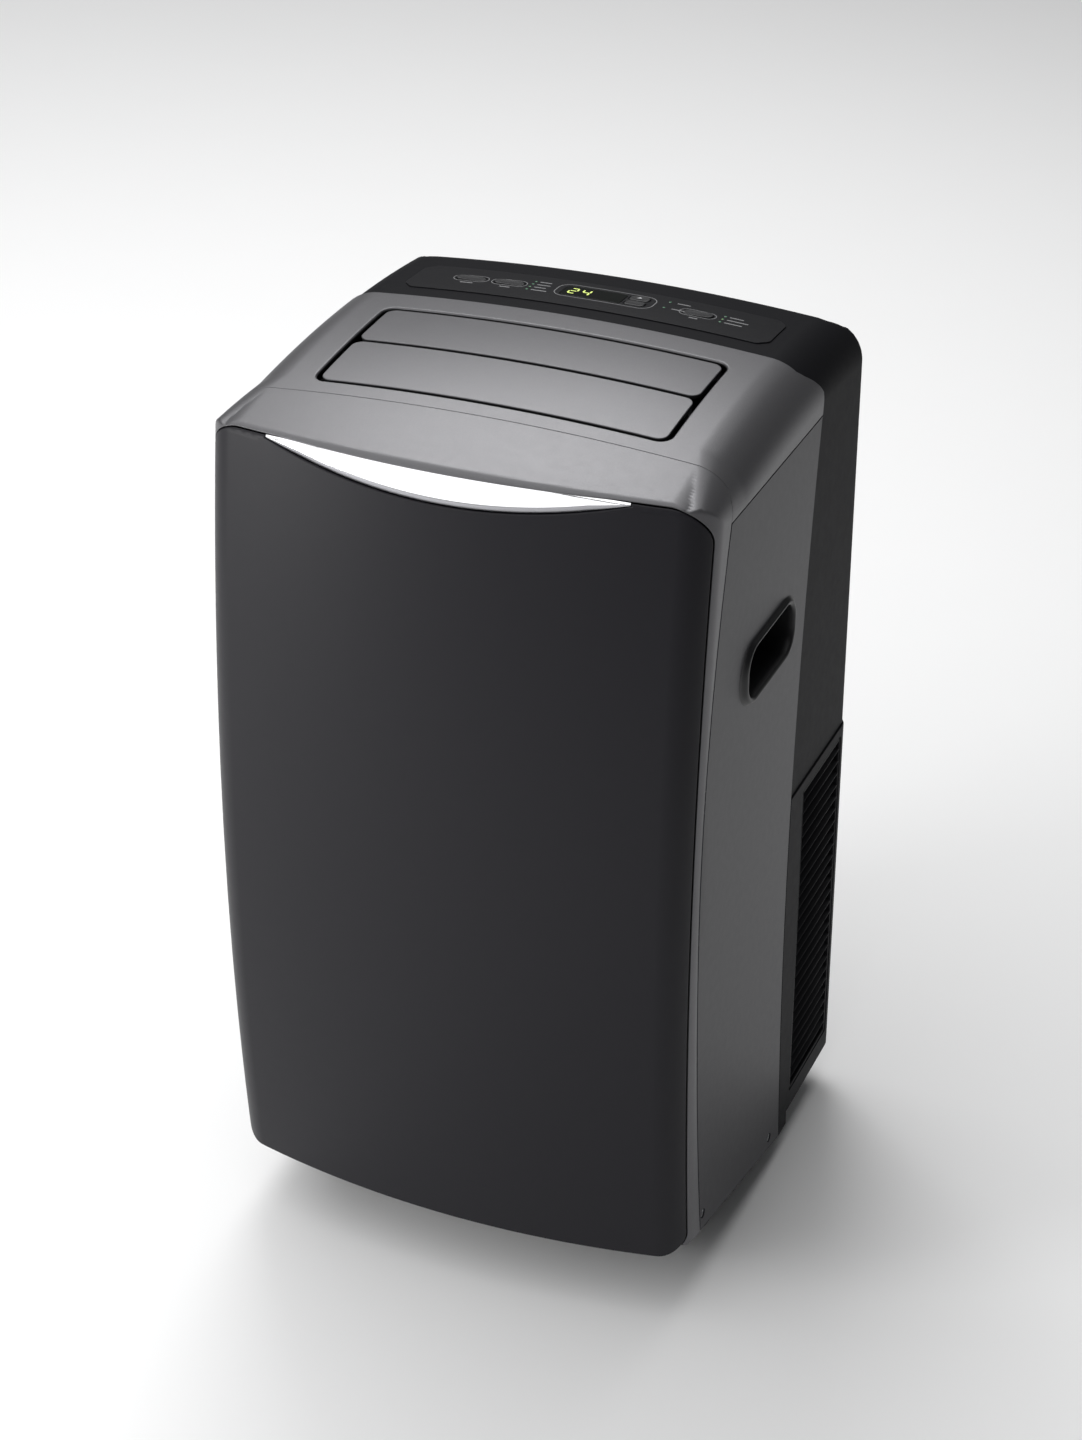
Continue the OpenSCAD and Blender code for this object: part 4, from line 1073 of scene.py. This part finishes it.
def rear_flank(s, bound, back):
    """Flat side in front of the round, from the wrap's end column to the joint and the ledge."""
    near = back[np.abs(back[:, :2] - bound[-1, :2]).max(1) < SAME]
    edge = {(round(float(y), 4), round(float(z), 4)) for _, y, z in near if z < BACK_TOP_Z - 0.01}
    edge = sorted(edge, key=lambda q: -q[1])
    joint = [(float(rear_joint(z)), float(z)) for z in np.arange(LEDGE_Z, bound[0][2] - 4, 9)]
    outline = [(float(q[1]), float(q[2])) for q in bound] + edge
    outline += [tuple(p) for p in dense([edge[-1], joint[0]], 7, closed=False)[1:]] + joint[1:]
    return patch([np.array(outline)], side_space(s), np.arange(66, 210, 11),
                 np.arange(LEDGE_Z + 8, 800, 11), REAR_STEP)


def rear_upper_casing():
    """The casing behind the top cover: over the top, round the rear edge and down to the ledge."""
    u_door = DOOR_X / arc_lengths(REAR_WALL_R, REAR_CORNER_R)[1]
    us = [np.linspace(0, u_door, 12), np.linspace(u_door, 1, 7)[1:], np.linspace(1, 2, 19)[1:]]
    us = np.concatenate(us)
    us = np.concatenate([-us[:0:-1], us])
    rows = rear_wrap(us)
    in_door = np.abs(us) <= u_door + 1e-6
    parts = [weave(rows, skip=lambda i, j: i == len(rows) - 2 and in_door[j] and in_door[j + 1])]
    parts.append(rear_back(us, u_door, rows[-1]))
    for s, column in ((-1, 0), (1, -1)):
        parts.append(rear_flank(s, rows[:, column], parts[1][0]))
    piece = shell("rear_upper_moulding", weld(parts, 0.12), REAR_BLACK, roll=0.7)
    settle_piece(piece, "root", "rear_black", "rear_upper_casing")


def snap_to_joint(row):
    """Puts the first row of the rear casing exactly on its joint with the top cover."""
    row = row.copy()
    for _ in range(6):
        row[:, 1] = rear_joint_y(row[:, 2])
        row = settle(row, REAR_STEP)
    row[:, 1] = rear_joint_y(row[:, 2])
    return row


GRILLE_Y0, GRILLE_Y1, GRILLE_Z0, GRILLE_Z1 = 96.0, 204.0, 62.0, 406.0
BACK_X, BACK_Z0, BACK_Z1 = 150.0, 90.0, 392.0
CORD_X, DRAIN_X, PORT_Z = -185.0, 170.0, 66.0


BACK_SCREWS = [(200, 110), (200, 400)]
DRAIN_HOLE_R, CORD_HOLE_R = 9.5, 11.3


def rear_lower_casing():
    """Casing below the ledge: both sides and the back as one sheet, with its grille windows."""
    _, r1, r2 = arc_lengths(REAR_WALL_R, REAR_CORNER_R)
    cw = float(along(np.array([r2]), REAR_WALL_R, REAR_CORNER_R)[1][0])

    def s_at(y):
        return r2 + (REAR_Y - y) - cw

    top = LEDGE_Z - 0.4
    right = [(s_at(float(rear_joint(z)) + 0.2), z) for z in np.linspace(26, top, 50)]
    foot = [(s_at(91), 26), (s_at(91), 41)]
    outline = dense(right + [(-s, z) for s, z in right[::-1]] + [(-s, z) for s, z in foot] + foot[::-1], 6)
    holes = []
    y_mid, z_mid = (GRILLE_Y0 + GRILLE_Y1) / 2, (GRILLE_Z0 + GRILLE_Z1) / 2
    wide, high = GRILLE_Y1 - GRILLE_Y0, GRILLE_Z1 - GRILLE_Z0
    for s in (-1, 1):
        holes.append(dense(round_rect(wide, high, 2.5, s * s_at(y_mid), z_mid, 4), 7))
        holes += [ring(s * x, z, SCREW_HOLE_R, 20) for x, z in BACK_SCREWS]
    holes.append(dense(round_rect(2 * BACK_X, BACK_Z1 - BACK_Z0, 3, 0, (BACK_Z0 + BACK_Z1) / 2, 4), 7))
    holes.append(ring(DRAIN_X, PORT_Z, DRAIN_HOLE_R, 28))
    holes.append(ring(CORD_X, PORT_Z, CORD_HOLE_R, 28))
    bend = np.arange(r1, r2 + 2, 3.0)
    us = np.concatenate([np.arange(0, r1 - 4, 12), bend, np.arange(r2 + 6, s_at(60), 10)])
    us = np.concatenate([-us[:0:-1], us])
    sheet = patch([outline] + holes, rear_space, us, np.arange(32, top, 11))
    piece = shell("rear_lower_moulding", sheet, REAR_BLACK, roll=0.8)
    settle_piece(piece, "root", "rear_black", "rear_lower_casing")


SLAT_PITCH, SLAT_W, SLAT_T, SLAT_LEAN = 13.2, 10.0, 2.4, -38.0


def capsule_section(w, t, lean, n=7):
    """Section of a slat with round edges, turned by lean degrees: (out, up) points."""
    pts = []
    for s, a0 in ((1, -90), (-1, 90)):
        for k in range(n):
            a = math.radians(a0 + 180 * k / (n - 1))
            pts.append((s * (w / 2 - t / 2) + t / 2 * math.cos(a), t / 2 * math.sin(a)))
    c, d = math.cos(math.radians(lean)), math.sin(math.radians(lean))
    return [(p * c - q * d, p * d + q * c) for p, q in pts]


def louvres(name, origin, out, width, height, deep, material):
    """Leaning slats in a frame. origin is the middle of the foot, out the outward direction."""
    out = np.array(out, float)
    run = np.cross(np.array([0, 0, 1.0]), out)
    parts = []

    def swept(tag, sec, a, b, up):
        sec = np.asarray(sec, float)
        rings = []
        for t, ease in ((a, 0.35), (a + 0.4, 0), (b - 0.4, 0), (b, 0.35)):
            s = sec * (1 - ease / np.abs(sec).max())
            rings.append(origin + out * s[:, :1] + np.array([0, 0, 1.0]) * (s[:, 1:] + up) + run * t)
        parts.append(loft(tag, rings, material, 40))

    count = int((height - 12) // SLAT_PITCH)
    slat = capsule_section(SLAT_W, SLAT_T, SLAT_LEAN)
    for i in range(count):
        swept("slat", slat, -width / 2 + 2, width / 2 - 2, 9 + SLAT_PITCH * (i + 0.5))
    rail = round_rect(deep, 4, 0.8, 0, 0, 3)
    for z in (2, height - 2):
        swept("rail", rail, -width / 2, width / 2, z)
    sec = np.array(rail)
    for t in (2 - width / 2, width / 2 - 2):
        rings = [origin + out * (sec[:, :1] * k) + run * (sec[:, 1:] * k + t) + np.array([0, 0, z])
                 for z, k in ((0.2, 0.9), (0.7, 1), (height - 0.7, 1), (height - 0.2, 0.9))]
        parts.append(loft("stile", rings, material, 40))
    return merge(name, parts)


def grilles():
    y_mid = (GRILLE_Y0 + GRILLE_Y1) / 2
    for s, word in SIDES:
        foot = np.array([s * (HALF - 4.6), y_mid, GRILLE_Z0 + 0.3])
        piece = louvres("side_louvres_" + word, foot, (s, 0, 0), GRILLE_Y1 - GRILLE_Y0 - 0.6,
                        GRILLE_Z1 - GRILLE_Z0 - 0.6, 8, REAR_BLACK)
        settle_piece(piece, "root", "rear_black", "side_grille_" + word)
    piece = louvres("rear_louvres", np.array([0, REAR_Y - 4.8, BACK_Z0 + 0.3]), (0, 1, 0), 2 * BACK_X - 0.6,
                    BACK_Z1 - BACK_Z0 - 0.6, 8, REAR_BLACK)
    settle_piece(piece, "root", "rear_black", "rear_lower_grille")


# ---- control panel ----
KEY_Y = 134.0
KEYS = {"power_key": -118.0, "mode_key": -81.0, "fan_key": 97.0}
TEMP_X = 40.0
LENS_AT = (-1.0, 135.0)
LAMPS = [(-60, 124 + 7 * i) for i in range(4)] + [(66, 148), (66, 133)]
LAMPS += [(120, 127 + 7 * i) for i in range(3)]
LIT_LAMPS = (1, 7)
LAMP_DASHES = (9, 7, 8, 7, 0, 0, 10, 12, 8)     # length of the dash beside each lamp, in strokes
OVERLAY = [(-163, 101), (163, 101), (172, 110), (172, 152), (163, 161), (-163, 161), (-172, 152), (-172, 110)]
TEMP_Y = {1: KEY_Y + 2 + 6.2, -1: KEY_Y + 2 - 6.2}      # the two temperature keys
TEMP_KEYS = ((1, "temp_up_key"), (-1, "temp_down_key"))


def capsule(w, h, cx, cy, n=10):
    return round_rect(w, h, h / 2 - 0.001, cx, cy, n)


def temp_outline(sign, grow=0.0):
    return round_rect(19 + 2 * grow, 10.5 + 2 * grow, 3.5 + grow, TEMP_X, TEMP_Y[sign], 6)


def on_top(name, loops, depth, thick, material, roll=0.0, step=6):
    """Thin piece that follows the crown of the top."""
    outer = np.array(loops[0])
    lo, hi = outer.min(0), outer.max(0)
    us = np.arange(lo[0] + step / 2, hi[0], step)
    vs = np.arange(lo[1] + step / 2, hi[1], step)
    sheet = patch([dense(l, step) for l in loops], plan_space, us, vs, depth, keep_off=step * 0.35)
    return shell(name, sheet, material, thick=thick, roll=max(roll, 0.02))


def control_overlay():
    loops = [eased(OVERLAY, 2)] + [capsule(30, 11, x, KEY_Y) for x in KEYS.values()]
    loops += [temp_outline(s, 0.45) for s in (-1, 1)]
    loops += [round_rect(58, 24, 4, *LENS_AT)]
    piece = on_top("control_fascia", loops, 0.3, 1.2, GLOSS_BLACK, 0.35, 7)
    settle_piece(piece, "root", "gloss_black", "control_overlay")
    lens = on_top("display_window", [round_rect(57.4, 23.4, 3.7, *LENS_AT)], 0.15, 1.2, LENS, 0.3)
    settle_piece(lens, "root", "smoked_lens", "display_lens")


def key_piece(node, outline, cx, cy):
    """Key with a softly domed top, rounded at its edge."""
    top = float(solve_z(cx, cy)) + 0.3
    base = np.array(outline, float)
    mid = np.array([cx, cy])
    # inset from the outline and drop below the top, from the key's foot to its middle
    profile = [(0, 6.5), (0, 1.1), (0.12, 0.6), (0.45, 0.22), (1.0, 0.04), (2.4, 0), (4.2, 0.1)]
    reach = np.linalg.norm(base - mid, axis=1, keepdims=True)
    rings = []
    for inset, drop in profile:
        small = base - (base - mid) / reach * np.minimum(inset, reach - 0.2)
        rings.append(np.column_stack([small, np.full(len(small), top - drop)]))
    piece = loft(node + "_cap", rings, KEY_GREY, 50)
    settle_piece(piece, node, "key_grey", node)


# place across, place upward, and 1 for a level segment
SEGMENTS = {"a": (0, 1, 1), "b": (1, 0.5, 0), "c": (1, -0.5, 0), "d": (0, -1, 1), "e": (-1, -0.5, 0),
            "f": (-1, 0.5, 0), "g": (0, 0, 1)}
SHOWN = ((-20, "abged"), (-8, "fgbc"))      # the lit segments of each digit: 2 and 4
DIGIT_HALF_W, DIGIT_HALF_H, DIGIT_LEAN = 3.3, 5.8, 0.5
SEGMENT_SIZES = ((1.4, 4.6), (5.4, 1.4))    # upright and level


def digits():
    """Two lit seven-segment digits under the window's surface."""
    parts = []
    for cx, lit in SHOWN:
        for seg in lit:
            dx, dy, flat = SEGMENTS[seg]
            x, y = cx + dx * DIGIT_HALF_W + dy * DIGIT_LEAN, LENS_AT[1] + dy * DIGIT_HALF_H
            w, h = SEGMENT_SIZES[flat]
            shape = box(x - w / 2, x + w / 2, y - h / 2, y + h / 2)
            parts.append(on_top("segment", [shape], 0.12, 0.05, DIGIT, 0, 3))
    piece = merge("display_digits", parts)
    settle_piece(piece, "root", "board_green")


def lamps():
    parts = []
    for k, (x, y) in enumerate(LAMPS):
        look = DIGIT if k in LIT_LAMPS else LAMP_OFF
        parts.append(on_top("lamp", [ring(x, y, 0.95, 16)], 0.24, 0.4, look, 0.1, 3))
    settle_piece(merge("lamp_tips", parts), "root", "board_green")


def line_ring(outline, width):
    """A printed line along an outline: outer and inner loop."""
    base = np.array(outline, float)
    nxt, prv = np.roll(base, -1, 0), np.roll(base, 1, 0)
    t = unit(nxt - prv)
    n = np.stack([t[:, 1], -t[:, 0]], 1)
    return [base + n * width / 2, base - n * width / 2]


def printed(loops):
    return on_top("print", loops, 0.27, 0.05, LINE_PRINT, 0, 4)


def dash(x0, x1, y):
    return printed([box(x0, x1, y - 0.9, y + 0.9)])


def prints():
    """Printed outlines, and plain dashes in place of words."""
    parts = [printed(line_ring(capsule(33.5, 14.5, x, KEY_Y), 0.7)) for x in KEYS.values()]
    parts.append(printed(line_ring(round_rect(92, 30, 11, 10, 135.5, 10), 0.8)))
    for (x, y), strokes in zip(LAMPS, LAMP_DASHES):
        if strokes:
            parts.append(dash(x + 4, x + 4 + strokes * 1.6, y))
    below_keys = [(x, 122.5, w) for x, w in zip(KEYS.values(), (12, 10, 8))]
    for x, y, w in below_keys + [(79, 148, 12), (79, 133, 12)]:
        parts.append(dash(x - w / 2, x + w / 2, y))
    settle_piece(merge("printed_lines", parts), "root", "white_plastic")


def arrow(sign, node):
    """Printed arrow on a temperature key."""
    y = TEMP_Y[sign]
    z = float(solve_z(TEMP_X, KEY_Y)) + 0.3
    tri = [(TEMP_X - 2.6, y - sign * 1.5), (TEMP_X + 2.6, y - sign * 1.5), (TEMP_X, y + sign * 2.0)][::sign]
    rings = [[(px, py, z + rise) for px, py in tri] for rise in (-0.12, 0.03)]
    settle_piece(loft(node + "_arrow", rings, PRINT), node, "key_grey")


# ---- camera, light and stage ----
CAMERA_AT = (914.84, -2056.80, 1815.81)
CAMERA_TURN, CAMERA_PITCH, CAMERA_ROLL = 23.84, 30.65, -0.35
FOCAL = 72.625


def camera():
    data = bpy.data.cameras.new("camera")
    data.lens, data.sensor_width = FOCAL, 36.0
    obj = bpy.data.objects.new("camera", data)
    a, p, r = (math.radians(v) for v in (CAMERA_TURN, CAMERA_PITCH, CAMERA_ROLL))
    right = Vector((math.cos(a), math.sin(a), 0))
    ahead = Vector((-math.sin(a) * math.cos(p), math.cos(a) * math.cos(p), -math.sin(p)))
    up = right.cross(ahead)
    across = right * math.cos(r) + up * math.sin(r)
    above = up * math.cos(r) - right * math.sin(r)
    m = Matrix((across, above, -ahead)).transposed().to_4x4()
    m.translation = Vector(CAMERA_AT) * MM
    obj.matrix_world = m
    bpy.context.scene.collection.objects.link(obj)
    bpy.context.scene.camera = obj


def area_light(name, at, target, size, power):
    data = bpy.data.lights.new(name, "AREA")
    data.shape = "RECTANGLE"
    data.size, data.size_y = size
    data.energy = power
    obj = bpy.data.objects.new(name, data)
    at, target = Vector(at), Vector(target)
    obj.location = at
    obj.rotation_mode = "QUATERNION"
    obj.rotation_quaternion = (target - at).to_track_quat("-Z", "Y")
    bpy.context.scene.collection.objects.link(obj)


def stage():
    floor = bpy.data.meshes.new("floor")
    half = 14.0
    floor.from_pydata([(x, y, 0) for x, y in box(-half, half, -half, half)], [], [(0, 1, 2, 3)])
    white = moulded("floor_white", (0.90, 0.90, 0.90), 0.8, 300, vary=0.01, specular=0.1)
    floor.materials.append(white)
    obj = bpy.data.objects.new("floor", floor)
    bpy.context.scene.collection.objects.link(obj)
    world = bpy.data.worlds.new("studio")
    bpy.context.scene.world = world
    world.use_nodes = True
    sky = world.node_tree.nodes["Background"].inputs
    sky["Color"].default_value = (0.97, 0.98, 1.0, 1)
    sky["Strength"].default_value = 0.12
    area_light("overhead", (-2.3, -0.2, 4.4), (-2.3, -0.2, 0), (7.2, 9.0), 300)
    area_light("back_softbox", (-0.98, 1.76, 3.2), (0, 0, 0.8), (1.4, 1.5), 38)
    area_light("left_window", (-1.75, -1.75, 0.85), (-0.2, -0.2, 0.6), (0.8, 0.9), 26)
    area_light("front_fill", (-0.95, -2.75, 1.72), (0, -0.2, 0.8), (2.6, 1.3), 14)
    bpy.context.scene.view_settings.view_transform = "Standard"


camera()
dress_cad()
front_panel()
chrome_trim()
front_frame()
for side, word in SIDES:
    frame_flange(side, word)
top_cover()
vane("rear_vane", SPLIT_Y + HALF_SPLIT, OUTLET_Y1 - VANE_GAP, REAR_AXIS)
vane("front_vane", OUTLET_Y0 + VANE_GAP, SPLIT_Y - HALF_SPLIT, FRONT_AXIS)
for side, word in SIDES:
    side_panel(side, word)
    handle(side, word)
rear_upper_casing()
rear_lower_casing()
grilles()
control_overlay()
for node, x in KEYS.items():
    key_piece(node, capsule(29, 10, x, KEY_Y), x, KEY_Y)
for sign, node in TEMP_KEYS:
    key_piece(node, temp_outline(sign), TEMP_X, TEMP_Y[sign])
digits()
lamps()
prints()
for sign, node in TEMP_KEYS:
    arrow(sign, node)
stage()
